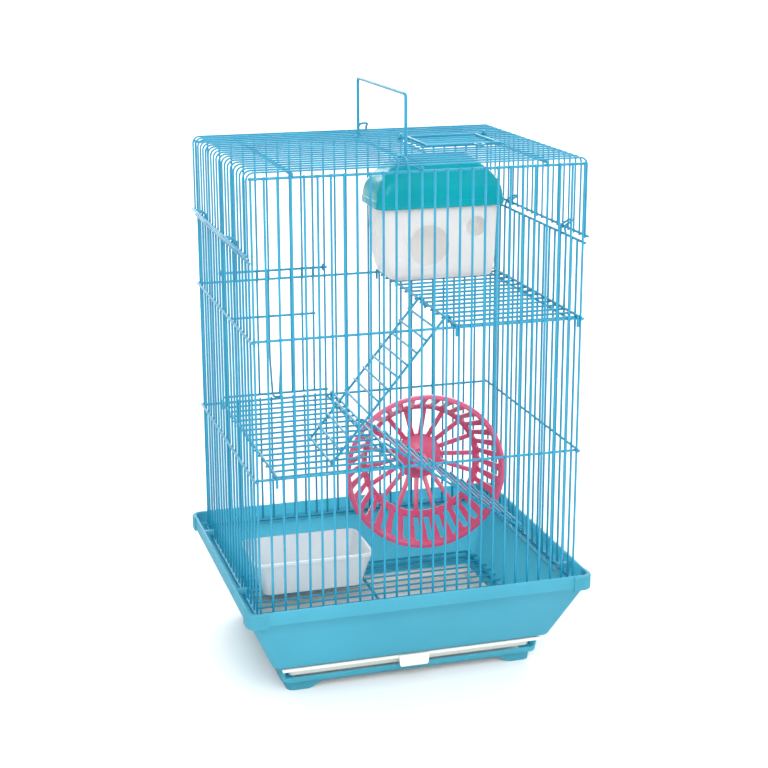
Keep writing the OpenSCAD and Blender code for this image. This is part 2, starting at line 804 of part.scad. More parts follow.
// the roof draws in towards its flat top along a curve, step by step
module lid_shell(shrink) {
    hull() {
        for (t = [0, 0.3, 0.5, 0.7, 0.85, 1]) {
            draw = pow(t, lid_curve);
            sheet(lid_x - shrink - draw * (lid_x - ridge_x), lid_y - shrink - draw * (lid_y - ridge_y),
                  (1 - draw) * lid_corner + draw * ridge_y / 2 - shrink / 2,
                  t * (gable_h - slab - shrink) - (1 - t) * shrink / 4);
        }
    }
}

module house_roof() color("#00A5AE") translate([house_x, house_y, house_z + house_h + seat]) {
    difference() {
        lid_shell(0);
        lid_shell(wall);
    }
    translate([0, 0, -lid_skirt])
        linear_extrude(lid_skirt + slab)
            difference() {
                rounded(2 * lid_x, 2 * lid_y, lid_corner);
                rounded(house_l + 2 * seat, house_w + 2 * seat, house_corner + seat);
            }
    linear_extrude(wall)
        difference() {
            rounded(2 * lid_x - 2, 2 * lid_y - 2, lid_corner - 1);
            rounded(house_l - 4 * wall, house_w - 4 * wall, house_corner - wall);
        }
}

module feeding_dish() color("#DADDE0") translate([dish_x, dish_y, dish_z]) {
    difference() {
        hull() {
            sheet(dish_l / 2 - dish_taper, dish_w / 2 - dish_taper, dish_corner - 2, 0);
            sheet(dish_l / 2 - dish_lip, dish_w / 2 - dish_lip, dish_corner, dish_h - slab);
        }
        hull() {
            sheet(dish_l / 2 - dish_taper - wall, dish_w / 2 - dish_taper - wall, dish_corner - 4, wall);
            sheet(dish_l / 2 - dish_lip - wall, dish_w / 2 - dish_lip - wall, dish_corner - 2, dish_h);
        }
    }
    translate([0, 0, dish_h - dish_band])
        linear_extrude(dish_band)
            difference() {
                rounded(dish_l, dish_w, dish_corner + 1);
                rounded(dish_l - 2 * wall - 2, dish_w - 2 * wall - 2, dish_corner - 1);
            }
}

base_tub();
slide_tray();
floor_grille();
front_panel();
back_panel();
left_panel();
right_panel();
roof_panel();
back_door();
roof_door();
carry_handle();
upper_shelf();
middle_shelf();
upper_ramp();
lower_ramp();
running_wheel();
wheel_hub_cap();
wheel_axle();
axle_clip();
wheel_bracket();
house_body();
house_roof();
feeding_dish();
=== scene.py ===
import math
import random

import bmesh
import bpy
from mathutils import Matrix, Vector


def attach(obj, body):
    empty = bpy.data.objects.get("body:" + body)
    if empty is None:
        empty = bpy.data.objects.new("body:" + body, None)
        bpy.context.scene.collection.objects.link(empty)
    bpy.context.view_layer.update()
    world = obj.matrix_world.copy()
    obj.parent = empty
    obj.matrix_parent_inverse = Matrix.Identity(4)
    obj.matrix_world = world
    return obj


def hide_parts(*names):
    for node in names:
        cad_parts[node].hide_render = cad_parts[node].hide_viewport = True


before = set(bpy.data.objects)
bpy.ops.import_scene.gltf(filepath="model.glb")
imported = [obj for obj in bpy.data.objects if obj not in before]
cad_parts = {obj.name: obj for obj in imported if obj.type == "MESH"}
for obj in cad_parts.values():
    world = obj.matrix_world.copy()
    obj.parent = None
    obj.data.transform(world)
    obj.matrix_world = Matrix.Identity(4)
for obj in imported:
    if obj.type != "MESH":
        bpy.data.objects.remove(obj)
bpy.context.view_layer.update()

# %% [markdown]
# # A wire cage for small animals
# The real object is a box of powder-coated steel wire on a moulded plastic tub. Two wire shelves,
# two wire ladders, a running wheel, a sleeping house and a bowl stand inside, and two wire doors,
# a carry handle and a litter tray move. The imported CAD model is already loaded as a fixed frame.
# Every piece below is built in millimetres around the same axes, so that its sizes can be read
# like those on a drawing, and one function scales it to metres when it is done.

chance = random.Random(11)

# %% [markdown]
# ## Camera
# The photograph looks down on the cage from the front left, from about a metre and a half away.
# The place and the lens were worked out from the corners of the wire box and of the tub's rim:
# a longer lens further off would make the left and right sides of the tub run parallel.

# %% Camera
camera_data = bpy.data.cameras.new("camera")
camera_data.lens = 77.88
camera_data.sensor_width = 36
camera_data.clip_end = 200
camera = bpy.data.objects.new("camera", camera_data)
camera.location = (-0.3976, -1.3473, 0.6384)
camera.rotation_euler = (math.radians(74.14), math.radians(0.16), math.radians(-16.57))
bpy.context.scene.collection.objects.link(camera)
bpy.context.scene.camera = camera
bpy.context.scene.view_settings.view_transform = "Standard"
print("camera stands", round(camera.location.length, 3), "m from the cage's foot")

# %% [markdown]
# ## From colour chips to shader colours
# A colour read off an object is an sRGB value, and shaders work with linear light, so one
# function turns a hex value into a linear one. A second small function adds any node to a
# material, sets what it is told to set, and links what it is told to link.

# %% Colour and node helpers
def linear(hex_colour):
    parts = [int(hex_colour[i:i + 2], 16) / 255 for i in (1, 3, 5)]
    return [p / 12.92 if p <= 0.04045 else ((p + 0.055) / 1.055) ** 2.4 for p in parts] + [1]


def add(material, kind, settings=None, links=None):
    made = material.node_tree.nodes.new(kind)
    for name, value in (settings or {}).items():
        if name in made.inputs:
            made.inputs[name].default_value = value
        else:
            setattr(made, name, value)
    for name, source in (links or {}).items():
        material.node_tree.links.new(source, made.inputs[name])
    return made


print("powder coat blue is", [round(c, 3) for c in linear("#4DAFD0")[:3]])

# %% [markdown]
# ## What every finish here has in common
# Paint and moulded plastic are both a colour that drifts a little, a gloss that is uneven, and
# a fine relief: orange peel in a powder coat, the sparked texture of a mould in plastic. One
# recipe with the real sizes of these three gives a different finish for each material, and the
# steady values, such as the gloss of the clear skin, go straight on the shader's own sockets.

# %% The recipe for a coated or moulded finish
def finish_recipe(name, colours, gloss, relief_mm, depth_mm, drift_mm, steady, skin=0.0):
    material = bpy.data.materials.new(name)
    material.use_nodes = True
    material.node_tree.nodes.clear()
    place = add(material, "ShaderNodeTexCoord").outputs["Object"]
    drift = add(material, "ShaderNodeTexNoise", {"Scale": 1000 / drift_mm, "Detail": 3.0}, {"Vector": place})
    colour = add(material, "ShaderNodeValToRGB", None, {"Fac": drift.outputs["Fac"]})
    for element, at, hex_colour in zip(colour.color_ramp.elements, (0.3, 0.7), colours):
        element.position = at
        element.color = linear(hex_colour)
    handling = add(material, "ShaderNodeTexNoise", {"Scale": 2600 / drift_mm, "Detail": 5.0},
                   {"Vector": place})
    rough = add(material, "ShaderNodeMapRange",
                {"From Min": 0.3, "From Max": 0.7, "To Min": gloss[0], "To Max": gloss[1]},
                {"Value": handling.outputs["Fac"]})
    relief = add(material, "ShaderNodeTexNoise", {"Scale": 1000 / relief_mm, "Detail": 2.0},
                 {"Vector": place})
    bump = add(material, "ShaderNodeBump", {"Strength": 0.6, "Distance": depth_mm / 1000},
               {"Height": relief.outputs["Fac"]})
    shader = add(material, "ShaderNodeBsdfPrincipled", dict(steady, **{"Coat Weight": skin}),
                 {"Base Color": colour.outputs["Color"], "Roughness": rough.outputs["Result"],
                  "Normal": bump.outputs["Normal"]})
    add(material, "ShaderNodeOutputMaterial", None, {"Surface": shader.outputs["BSDF"]})
    return material


print("recipe ready")

# %% [markdown]
# ## The finishes
# The wires are drawn steel under a baked polyester powder coat, which melts to a soft gloss with
# an orange peel of about a millimetre. The tub is injection-moulded polypropylene: waxy, half
# matt, with the faint grain of its mould. The wheel is moulded polystyrene, harder and glossier.
# The house is ABS, polished like a toy, and the bowl is polypropylene without pigment, so it is
# milky. The axle is zinc-plated steel. The bracket behind the wheel is clear polystyrene: the
# photograph shows no bracket, so its index is lowered until its edges don't show either. The
# real grain of a mould is under a tenth of a millimetre, too fine for this view, so it is drawn
# about half a millimetre wide.

# %% Materials
powder_coated_wire = finish_recipe(
    "powder_coated_steel_wire", ("#0F82A4", "#1C91B0"), gloss=(0.36, 0.5), relief_mm=1.1, depth_mm=0.05,
    drift_mm=35, steady={"IOR": 1.45, "Coat Roughness": 0.2}, skin=0.08)
moulded_tub = finish_recipe(
    "moulded_polypropylene_light_blue", ("#52B0C2", "#5AB7C9"), gloss=(0.36, 0.48), relief_mm=0.6,
    depth_mm=0.03, drift_mm=60, steady={"IOR": 1.49, "Subsurface Weight": 0.12,
                                        "Subsurface Radius": (0.002, 0.004, 0.005),
                                        "Subsurface Scale": 0.5})
moulded_tray = finish_recipe(
    "moulded_polypropylene_off_white", ("#DAD7CF", "#E2DFD8"), gloss=(0.34, 0.46), relief_mm=0.6,
    depth_mm=0.03, drift_mm=50, steady={"IOR": 1.49})
moulded_wheel = finish_recipe(
    "moulded_polystyrene_pink", ("#C94A72", "#D45A80"), gloss=(0.26, 0.38), relief_mm=0.8,
    depth_mm=0.02, drift_mm=40, steady={"IOR": 1.5, "Coat Roughness": 0.12}, skin=0.05)
moulded_cap = finish_recipe(
    "moulded_polystyrene_bright_pink", ("#E2507A", "#EA5F88"), gloss=(0.2, 0.3), relief_mm=0.8,
    depth_mm=0.02, drift_mm=30, steady={"IOR": 1.55, "Coat Roughness": 0.1}, skin=0.15)
zinc_plated_steel = finish_recipe(
    "zinc_plated_steel", ("#B9BDC2", "#CDD1D4"), gloss=(0.3, 0.42), relief_mm=0.5, depth_mm=0.01,
    drift_mm=8, steady={"Metallic": 1.0})
moulded_house = finish_recipe(
    "moulded_abs_white", ("#EBE8E6", "#F0EDEB"), gloss=(0.2, 0.3), relief_mm=1.5, depth_mm=0.02,
    drift_mm=60, steady={"IOR": 1.53, "Coat Roughness": 0.08}, skin=0.2)
moulded_roof = finish_recipe(
    "moulded_abs_teal", ("#008F9A", "#009AA4"), gloss=(0.12, 0.2), relief_mm=1.5, depth_mm=0.02,
    drift_mm=60, steady={"IOR": 1.45, "Specular IOR Level": 0.2})
milky_bowl = finish_recipe(
    "moulded_polypropylene_milky", ("#E6E8E9", "#ECEEEF"), gloss=(0.3, 0.42), relief_mm=0.7,
    depth_mm=0.03, drift_mm=45, steady={"IOR": 1.49, "Subsurface Weight": 0.35,
                                        "Subsurface Radius": (0.006, 0.006, 0.007),
                                        "Subsurface Scale": 0.6})
clear_bracket = finish_recipe(
    "moulded_styrene_clear", ("#E8F1F5", "#EEF5F8"), gloss=(0.05, 0.1), relief_mm=1.5,
    depth_mm=0.01, drift_mm=40, steady={"IOR": 1.2, "Transmission Weight": 0.95})
print(len(bpy.data.materials), "materials")

# %% [markdown]
# ## Light through thin plastic
# Plastic two millimetres thick lets part of the light through when it has little pigment, so the
# inside of the tub, the house and the bowl is bright. A share of translucent light does that.

# %% Light through the walls
def let_light_through(material, share, hex_colour):
    shader = material.node_tree.nodes["Principled BSDF"]
    output = material.node_tree.nodes["Material Output"]
    through = add(material, "ShaderNodeBsdfTranslucent", {"Color": linear(hex_colour)})
    mix = add(material, "ShaderNodeMixShader", {"Fac": share})
    material.node_tree.links.new(shader.outputs["BSDF"], mix.inputs[1])
    material.node_tree.links.new(through.outputs["BSDF"], mix.inputs[2])
    material.node_tree.links.new(mix.outputs["Shader"], output.inputs["Surface"])


let_light_through(moulded_tub, 0.55, "#8CD8E8")
let_light_through(moulded_house, 0.45, "#FFFCFA")
let_light_through(milky_bowl, 0.35, "#F8FAFB")
print("tub, house and bowl let light through")

# %% [markdown]
# ## Turning a mesh in millimetres into a piece of the cage
# Round things look round when the shading runs smoothly over their faces, and crisp where two
# faces meet at a real edge. So each piece is shaded smooth, its sharp edges are marked by the
# angle between their faces, and only then is it scaled to metres and tied to its CAD body.

# %% Finished pieces
def piece(name, work, material, body, slot, *nodes, sharp=38):
    bmesh.ops.recalc_face_normals(work, faces=work.faces)
    for face in work.faces:
        face.smooth = True
    for edge in work.edges:
        edge.smooth = edge.calc_face_angle(0) < math.radians(sharp)
    mesh = bpy.data.meshes.new(name)
    work.to_mesh(mesh)
    work.free()
    mesh.transform(Matrix.Scale(0.001, 4))
    mesh.materials.append(material)
    made = bpy.data.objects.new(name, mesh)
    bpy.context.scene.collection.objects.link(made)
    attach(made, body)
    if nodes:
        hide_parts(*nodes)
    size = [round(1000 * d, 1) for d in made.dimensions]
    print(name, "has", len(mesh.polygons), "faces and measures", size, "mm")


# %% [markdown]
# ## Bending and sweeping wire
# Cage wire is straightened, cut and bent cold round a former, so a corner is always an arc. A
# curve object with a round bevel could show it, but a mesh lets many wires share one piece, as
# they do once they are welded. `bent` turns the corners of a path into arcs, `wire` sweeps a
# circle along a path and rounds its cut ends, where the powder flows over the burr, and
# `straight` does so between two points. `bowed` gives an upright a slight bow, because no cut
# wire is quite straight, and `loop_path` gives the points of a turn round another wire.

# %% Wire helpers
def bent(points, radius, steps=5):
    points = [Vector(p) for p in points]
    path = [points[0]]
    for before, corner, after in zip(points, points[1:], points[2:]):
        back, ahead = before - corner, after - corner
        half = back.angle(ahead) / 2
        trim = min(radius / math.tan(half), 0.49 * back.length, 0.49 * ahead.length)
        middle = corner + (back.normalized() + ahead.normalized()).normalized() * (trim / math.cos(half))
        start = corner + back.normalized() * trim - middle
        end = corner + ahead.normalized() * trim - middle
        path += [middle + start.normalized().slerp(end.normalized(), i / steps) * start.length
                 for i in range(steps + 1)]
    return path + [points[-1]]


def bowed(start, end, sway=0.14, steps=6):
    start, end = Vector(start), Vector(end)
    side = (end - start).orthogonal().normalized()
    side.rotate(Matrix.Rotation(chance.uniform(0, math.tau), 3, end - start))
    sway *= chance.uniform(-1, 1)
    return [start.lerp(end, i / steps) + side * sway * math.sin(math.pi * i / steps)
            for i in range(steps + 1)]


# A cut end is three rings, each given by how far it is out and how wide it is, in wire radii.
cut_end = ((-0.2, 1), (0.2, 0.88), (0.45, 0.6))
end_rings = {-1: cut_end[::-1], 0: ((0, 1),), 1: cut_end}


def wire(work, path, radius, sides=10):
    path = [Vector(p) for p in path]
    path = [p for i, p in enumerate(path) if i == 0 or (p - path[i - 1]).length > 1e-4]
    normal = (path[1] - path[0]).orthogonal()
    last = len(path) - 1
    rings = []
    for i, point in enumerate(path):
        along = (path[min(i + 1, last)] - path[max(i - 1, 0)]).normalized()
        normal = (normal - along * normal.dot(along)).normalized()
        across = along.cross(normal)
        out = {0: -1, last: 1}.get(i, 0)
        turn = [(normal * math.cos(a) + across * math.sin(a)) * radius
                for a in (math.tau * k / sides for k in range(sides))]
        for shift, size in end_rings[out]:
            rings.append([work.verts.new(point + along * out * shift * radius + t * size) for t in turn])
    for one, two in zip(rings, rings[1:]):
        for k in range(sides):
            work.faces.new((one[k - 1], one[k], two[k], two[k - 1]))
    work.faces.new(rings[0])
    work.faces.new(reversed(rings[-1]))


def straight(work, start, end, radius, sides=10):
    start, end = Vector(start), Vector(end)
    wire(work, [start, start.lerp(end, 0.5), end], radius, sides)


def loop_path(centre, radius, x_axis, y_axis, start, turn, steps=12):
    centre, x_axis, y_axis = Vector(centre), Vector(x_axis), Vector(y_axis)
    angles = [math.radians(start + turn * i / steps) for i in range(steps + 1)]
    return [centre + (x_axis * math.cos(a) + y_axis * math.sin(a)) * radius for a in angles]


print("a right-angled bend has", len(bent([(0, 0, 9), (0, 0, 0), (9, 0, 0)], 3)), "points")

# %% [markdown]
# ## Spot welds
# Crossing wires are pressed together between two electrodes and melt into each other. The coat
# then runs into the notch, so each crossing shows a small soft bead. A low round lump in the
# notch between the two wires is enough: the coat hides everything else.

# %% Weld beads
def weld_bead(work, at, size=1.2):
    place = Matrix.Translation(Vector(at))
    bmesh.ops.create_icosphere(work, subdivisions=2, radius=size, matrix=place)


small_bead, big_bead = 1.15, 1.25
print("a weld bead is", 2 * small_bead, "to", 2 * big_bead, "mm wide")

# %% [markdown]
# ## The plan of the wire box
# These are the sizes of the wire grid: 26 spaces across the front, 19 along each side, four
# levels of rails. The tub's rim, 300 mm by 254 mm, set the scale of the photograph. Places are
# worked out from the nominal wire radii `thin`, `rail` and `heavy`. The thin wires look a little
# slimmer in the photograph than their nominal 2 mm, so they are drawn with `slim` and
# `roof_slim`. Two welded wires sink into each other by `melt`, a wire that turns in a loop has
# `play` round it, and uprights end `overrun` past their last rail. On the heavy wires the weld
# beads sit `bead_drop` under the thin wire's middle. The rails end `front_past` and `side_past`
# beyond the corner uprights, and a tongue starts to bend `corner_rise` above its rail.

# %% Plan of the wires
thin, rail, heavy = 1.0, 1.1, 1.4
slim, roof_slim = 0.97, 0.78
melt, play, overrun, bead_drop = 0.3, 0.08, 1.2, 1.1
front_past, side_past, corner_rise = 0.9, 0.5, 0.5
box_x, box_y = 137.5, 114.35
front_spaces, side_spaces = 26, 19
pitch_x, pitch_y = 2 * box_x / front_spaces, 2 * box_y / side_spaces
nest = thin + rail - melt
cross_y = box_y - nest
hook_r = thin + play + rail
side_rail_x = box_x + hook_r
side_x = side_rail_x - nest
bottom_z, mid_z, up_z, top_z, side_top_z = 81.4, 200.4, 315.1, 443.0, 378.1
roof_z, heavy_z = 447.9, 445.8
roof_edge = box_y - 2 * thin - 0.3
roof_pitch = 2 * roof_edge / side_spaces
front_tongue, side_tongues = 11.5, (3.5, 14.5)


def front_x(k):
    return -box_x + k * pitch_x


def side_y(k):
    return -box_y + k * pitch_y


def roof_y(k):
    return -roof_edge + k * roof_pitch


print("front pitch", round(pitch_x, 2), "mm, side pitch", round(pitch_y, 2), "mm")

# %% [markdown]
# ## Spring tongues
# The panels hold each other with tongues: two neighbouring uprights are one long wire, bent
# together above the rail and folded over the next panel's edge. Pressing the tongue inwards
# frees the panel. The whole tongue is one path here, as it is one wire on the real panel.

# %% Tongue path
tongue_half, neck_rise, head_rise, tilt = 3.5, 7, 5.6, math.radians(62)


def tongue_path(middle, spread, foot_z, rail_z, along, lean, aside=0.0):
    middle, along, lean = Vector((*middle, 0)), Vector((*along, 0)), Vector((*lean, 0))
    up = lean * math.sin(tilt) + Vector((0, 0, math.cos(tilt)))
    bend_z = rail_z + corner_rise
    neck = middle + Vector((0, 0, bend_z + neck_rise))
    head = neck + up * head_rise
    sides = []
    for s in (-1, 1):
        foot = middle + along * (aside + s * spread / 2)
        sides.append([foot + Vector((0, 0, foot_z)), foot + Vector((0, 0, bend_z)),
                      neck + along * s * tongue_half, head + along * s * tongue_half])
    left, right = bent(sides[0], 4), bent(sides[1], 4)
    over = loop_path(head, tongue_half, -along, up, 0, 180, 10)
    return left + over[1:-1] + right[::-1]


print("tongue path has", len(tongue_path((0, 0), pitch_x, 0, 100, (1, 0), (0, 1))), "points")

# %% [markdown]
# ## Front and back panels
# Both are the same welded grid: uprights outside, four crosswires inside. The back one is turned
# round and leaves an opening for its door, with two eyelets for the door's hinge wire.

# %% Front and back grids
def front_grid(work, skipped):
    for k in range(front_spaces + 1):
        x = front_x(k)
        if abs(k - front_tongue) < 1:
            continue
        foot, end = (x, -box_y, bottom_z - overrun), (x, -box_y, top_z + overrun)
        if k in skipped:
            wire(work, bowed(foot, (x, -box_y, mid_z + overrun)), slim)
            wire(work, bowed((x, -box_y, up_z - overrun), end), slim)
        else:
            wire(work, bowed(foot, end, steps=9), slim)
    tongue_at = (front_x(front_tongue), -box_y)
    wire(work, tongue_path(tongue_at, pitch_x, bottom_z - overrun, top_z, (1, 0), (0, 1)), slim)
    for z in (bottom_z, mid_z, up_z, top_z):
        straight(work, (-box_x - front_past, -cross_y, z), (box_x + front_past, -cross_y, z), rail)
        for k in range(front_spaces + 1):
            weld_bead(work, (front_x(k), -box_y + nest / 2, z))


front = bmesh.new()
front_grid(front, ())
piece("front_panel_wires", front, powder_coated_wire, "cage", "coated_wire", "front_panel")

# %% [markdown]
# ## The back panel's opening and eyelets
# The back panel is the front one turned half round, with eight uprights cut out between the two
# middle crosswires. The door's top wire turns in two eyelets, each one almost closed loop of
# wire, so `eyelet` works its radius out from the wire that turns in it.

# %% Back panel with its door eyelets
def eyelet(work, centre, radius, x_axis, y_axis):
    wire(work, loop_path(centre, radius + play + rail, x_axis, y_axis, 0, 352, 20), radius)


door_wires = range(3, 11)
hinge_wire_y, hinge_wire_z = 118.63, 321.7
back = bmesh.new()
front_grid(back, [front_spaces - k for k in door_wires])
back.transform(Matrix.Rotation(math.pi, 4, "Z"))
for k in (2, 11):
    eyelet(back, (front_x(k), hinge_wire_y, hinge_wire_z), 1.2, (0, -1, 0), (0, 0, 1))
piece("back_panel_wires", back, powder_coated_wire, "cage", "coated_wire", "back_panel")

# %% [markdown]
# ## Side panels
# The sides are lower, because the bent roof covers their top. Their uprights stand inside and
# the rails outside, and the two middle rails end in hooks round the corner uprights of the front
# and back: that is what ties the four walls together. Both sides are the same part.

# %% Left and right grids
def side_grid(work):
    for k in range(1, side_spaces):
        if all(abs(k - tongue) > 1 for tongue in side_tongues):
            foot = (side_x, side_y(k), bottom_z - overrun)
            wire(work, bowed(foot, (side_x, side_y(k), side_top_z + overrun)), slim)
    for k in side_tongues:
        wire(work, tongue_path((side_x, roof_y(k)), pitch_y, bottom_z - overrun, side_top_z, (0, 1), (1, 0),
                               side_y(k) - roof_y(k)), slim)
    for z in (bottom_z, side_top_z):
        straight(work, (side_rail_x, -box_y - side_past, z), (side_rail_x, box_y + side_past, z), rail)
    for z in (mid_z, up_z):
        near = loop_path((box_x, -box_y, z), hook_r, (1, 0, 0), (0, 1, 0), -95, 95)
        far = loop_path((box_x, box_y, z), hook_r, (1, 0, 0), (0, 1, 0), 0, 95)
        wire(work, near + far, rail)
    for z in (bottom_z, mid_z, up_z, side_top_z):
        for k in range(1, side_spaces):
            weld_bead(work, (side_x + nest / 2, side_y(k), z))


right = bmesh.new()
side_grid(right)
piece("right_panel_wires", right, powder_coated_wire, "cage", "coated_wire", "right_panel")
left = bmesh.new()
side_grid(left)
left.transform(Matrix.Rotation(math.pi, 4, "Z"))
piece("left_panel_wires", left, powder_coated_wire, "cage", "coated_wire", "left_panel")

# %% [markdown]
# ## Roof panel
# Twenty wires run across the roof and down both sides in one bend each, so the roof is a cap
# that the side tongues hold. Three heavy wires under them carry the load of the handle, and a
# fourth frames the hatch. A hatch needs its wires cut, and the cut ends stop on the frame wires.

# %% Roof
drop_x, drop_rail_x, drop_z, roof_bend = 140.26, 142.06, 383.5, 6
heavy_front_past, heavy_back_past = 1, 7
hatch_wires = range(8, 13)
hatch_left, hatch_right, cut_back = 29.0, 105.0, 0.6
heavy_wires = (-hatch_right, 0, hatch_right)
roof = bmesh.new()
for k in range(side_spaces + 1):
    y = roof_y(k)
    sag = chance.uniform(-0.1, 0.1)
    for s, frame_x in ((-1, hatch_left), (1, hatch_right)):
        inner = frame_x + s * cut_back if k in hatch_wires else 0
        down = [(inner, y, roof_z), (s * drop_x, y, roof_z), (s * drop_x, y + sag, drop_z - overrun)]
        wire(roof, bent(down, roof_bend, 7), roof_slim)
        weld_bead(roof, (s * (drop_x + drop_rail_x) / 2, y, drop_z))
    for x in heavy_wires:
        weld_bead(roof, (x, y, roof_z - bead_drop), big_bead)
for x in heavy_wires:
    start, end = (x, -box_y - heavy_front_past, heavy_z), (x, box_y + heavy_back_past, heavy_z)
    straight(roof, start, end, heavy, 12)
wire(roof, [(hatch_left, roof_y(7) - 2, heavy_z), (hatch_left, roof_y(13) + 2, heavy_z)], heavy, 12)
for x in (-drop_rail_x, drop_rail_x):
    straight(roof, (x, -box_y, drop_z), (x, box_y, drop_z), rail)
hatch_y, hatch_front_y, hatch_z = 35.38, -24.18, 450.3
for x in (hatch_left, hatch_right):
    eyelet(roof, (x, hatch_y, hatch_z), 1.11, (0, 0, -1), (0, 1, 0))
piece("roof_panel_wires", roof, powder_coated_wire, "cage", "coated_wire", "roof_panel")

# %% [markdown]
# ## Doors
# The back door hangs from its top wire in the two eyelets, and the roof hatch from its rear wire.
# Each closes with a latch made of its own wire: a narrow loop that snaps over the panel's
# crosswire. On the back door, two of the uprights are one wire that ends in this loop.

# %% Back door
door_y, door_mid_z, door_bottom_z, latch_z = 116.83, 278.5, 204.5, 203.3
latch_x, leg_bend_z, leg_bend = front_x(6.5), mid_z + 40, 2.5
back_door = bmesh.new()
for start, end, y, z in ((front_x(2) - 3, front_x(11) + 3, hinge_wire_y, hinge_wire_z),
                         (front_x(3) - 2, front_x(10) + 2, hinge_wire_y, door_mid_z),
                         (front_x(2) - 2, front_x(11) + 2, door_y, door_bottom_z)):
    straight(back_door, (start, y, z), (end, y, z), rail)
for k in door_wires:
    x = front_x(k)
    if abs(x - latch_x) > pitch_x:
        wire(back_door, bowed((x, door_y, hinge_wire_z + overrun), (x, door_y, door_bottom_z)), slim)
    weld_bead(back_door, (x, hinge_wire_y - nest / 2, hinge_wire_z))
    weld_bead(back_door, (x, hinge_wire_y - nest / 2, door_mid_z))
legs = []
for x, s in ((latch_x - pitch_x / 2, -1), (latch_x + pitch_x / 2, 1)):
    legs.append(bent([(x, door_y, hinge_wire_z + overrun), (x, door_y, leg_bend_z),
                      (latch_x + s * tongue_half, door_y, latch_z + 2),
                      (latch_x + s * tongue_half, cross_y, latch_z)], leg_bend))
nose = loop_path((latch_x, cross_y, latch_z), tongue_half, (-1, 0, 0), (0, -1, 0), 0, 180, 10)
wire(back_door, legs[0] + nose[1:-1] + legs[1][::-1], slim)
piece("back_door_wires", back_door, powder_coated_wire, "rear_door", "coated_wire", "back_door")

# %% [markdown]
# ## The roof hatch
# The hatch is a small mat of its own: five short wires in line with the cut roof wires, welded
# under two legs that hang from the rear wire. Its latch is a wire loop that snaps over the roof.

# %% Roof hatch
hatch_wire_z = hatch_z - nest
left_leg_x, right_leg_x = hatch_left + 5, hatch_right - 8
roof_door = bmesh.new()
for start, end, y in ((hatch_left - 3, hatch_right + 3, hatch_y),
                      (hatch_left + 3, hatch_right - 6, hatch_front_y)):
    straight(roof_door, (start, y, hatch_z), (end, y, hatch_z), rail)
for x in (left_leg_x, right_leg_x):
    straight(roof_door, (x, hatch_y, hatch_z), (x, hatch_front_y, hatch_z), slim)
    for k in hatch_wires:
        weld_bead(roof_door, (x, roof_y(k), hatch_z - nest / 2), small_bead)
for k in hatch_wires:
    y = roof_y(k)
    start, end = hatch_left + cut_back, hatch_right - cut_back
    straight(roof_door, (start, y, hatch_wire_z), (end, y, hatch_wire_z), slim)
snap_x, snap_y = 78, roof_y(7) - 1
snap = loop_path((snap_x, snap_y, hatch_z), tongue_half, (-1, 0, 0), (0, -1, 0), 0, 180, 10)
snap_foot = (snap_x - tongue_half, hatch_front_y, hatch_z)
snap_end = (snap_x + tongue_half, hatch_front_y, hatch_z)
wire(roof_door, [snap_foot] + snap + [snap_end], slim)
piece("roof_door_wires", roof_door, powder_coated_wire, "top_door", "coated_wire", "roof_door")

# %% [markdown]
# ## Carry handle
# The handle is one wire. It is coiled round the middle heavy wire of the roof, rises, runs level
# and comes down to a second coil, so it can fold flat to either side.

# %% Handle
coil_r, coil_y, coil_run, coil_steps, leg_end = 2.78, 70.77, 1.3, 22, 1.5
handle_top, handle_bend, handle_wire_r, leg_rise = 498.8, 3.5, 1.35, 1.2
leg_z = heavy_z + coil_r + leg_rise
handle = bmesh.new()
halves = []
for s in (-1, 1):
    coil = loop_path((0, s * coil_y, heavy_z), coil_r, (1, 0, 0), (0, 0, -1), 0, 262, coil_steps)
    coil = [p + Vector((0, -s * coil_run * (1 - i / coil_steps) ** 2, 0)) for i, p in enumerate(coil)]
    tail = [Vector((coil_r, s * (coil_y - leg_end - coil_run), heavy_z))]
    halves.append(tail + coil)
top = bent([halves[0][-1], (0, -coil_y, leg_z), (0, -coil_y, handle_top),
            (0, coil_y, handle_top), (0, coil_y, leg_z), halves[1][-1]], handle_bend, 6)
wire(handle, halves[0][:-1] + top + halves[1][:-1][::-1], handle_wire_r, 12)
piece("handle_wire", handle, powder_coated_wire, "handle", "coated_wire", "carry_handle")

# %% [markdown]
# ## Shelves
# A shelf is a mat of cross wires welded under two rails. The rails' ends are bent down and hook
# over the crosswires of the front and back, so a shelf can be moved. A third wire, under the mat
# beside the right rail, catches the hook of the ladder and keeps its foot from swinging down.

# %% Two shelves
shelf_w, shelf_lift, stub, shelf_bend, mat_wires, mat_overhang = 105.7, 2.4, 9, 1.6, 16, 1.4
mat_y = cross_y - rail - thin - 0.6
stop_in = 4 * rail + 0.38
middle_x = -box_x + 1.5 * pitch_x
upper_x = box_x - 2.4 - shelf_w


def shelf_mat(name, x, cross_z, node):
    work = bmesh.new()
    z = cross_z + shelf_lift
    hook_y = cross_y + shelf_lift
    for rail_x in (x, x + shelf_w):
        wire(work, bent([(rail_x, -hook_y, z - stub), (rail_x, -hook_y, z), (rail_x, hook_y, z),
                         (rail_x, hook_y, z - stub)], shelf_bend), rail)
    stop_x = x + shelf_w - stop_in
    for k in range(mat_wires):
        y = -mat_y + 2 * mat_y * k / (mat_wires - 1)
        start, end = (x - mat_overhang, y, z - nest), (x + shelf_w + mat_overhang, y, z - nest)
        wire(work, bowed(start, end, 0.1, 4), slim)
        weld_bead(work, (x, y, z - nest / 2))
        weld_bead(work, (x + shelf_w, y, z - nest / 2))
        weld_bead(work, (stop_x, y, z - nest * 1.5))
    straight(work, (stop_x, -mat_y - 1, z - 2 * nest), (stop_x, mat_y + 1, z - 2 * nest), rail)
    piece(name, work, powder_coated_wire, "cage", "coated_wire", node)


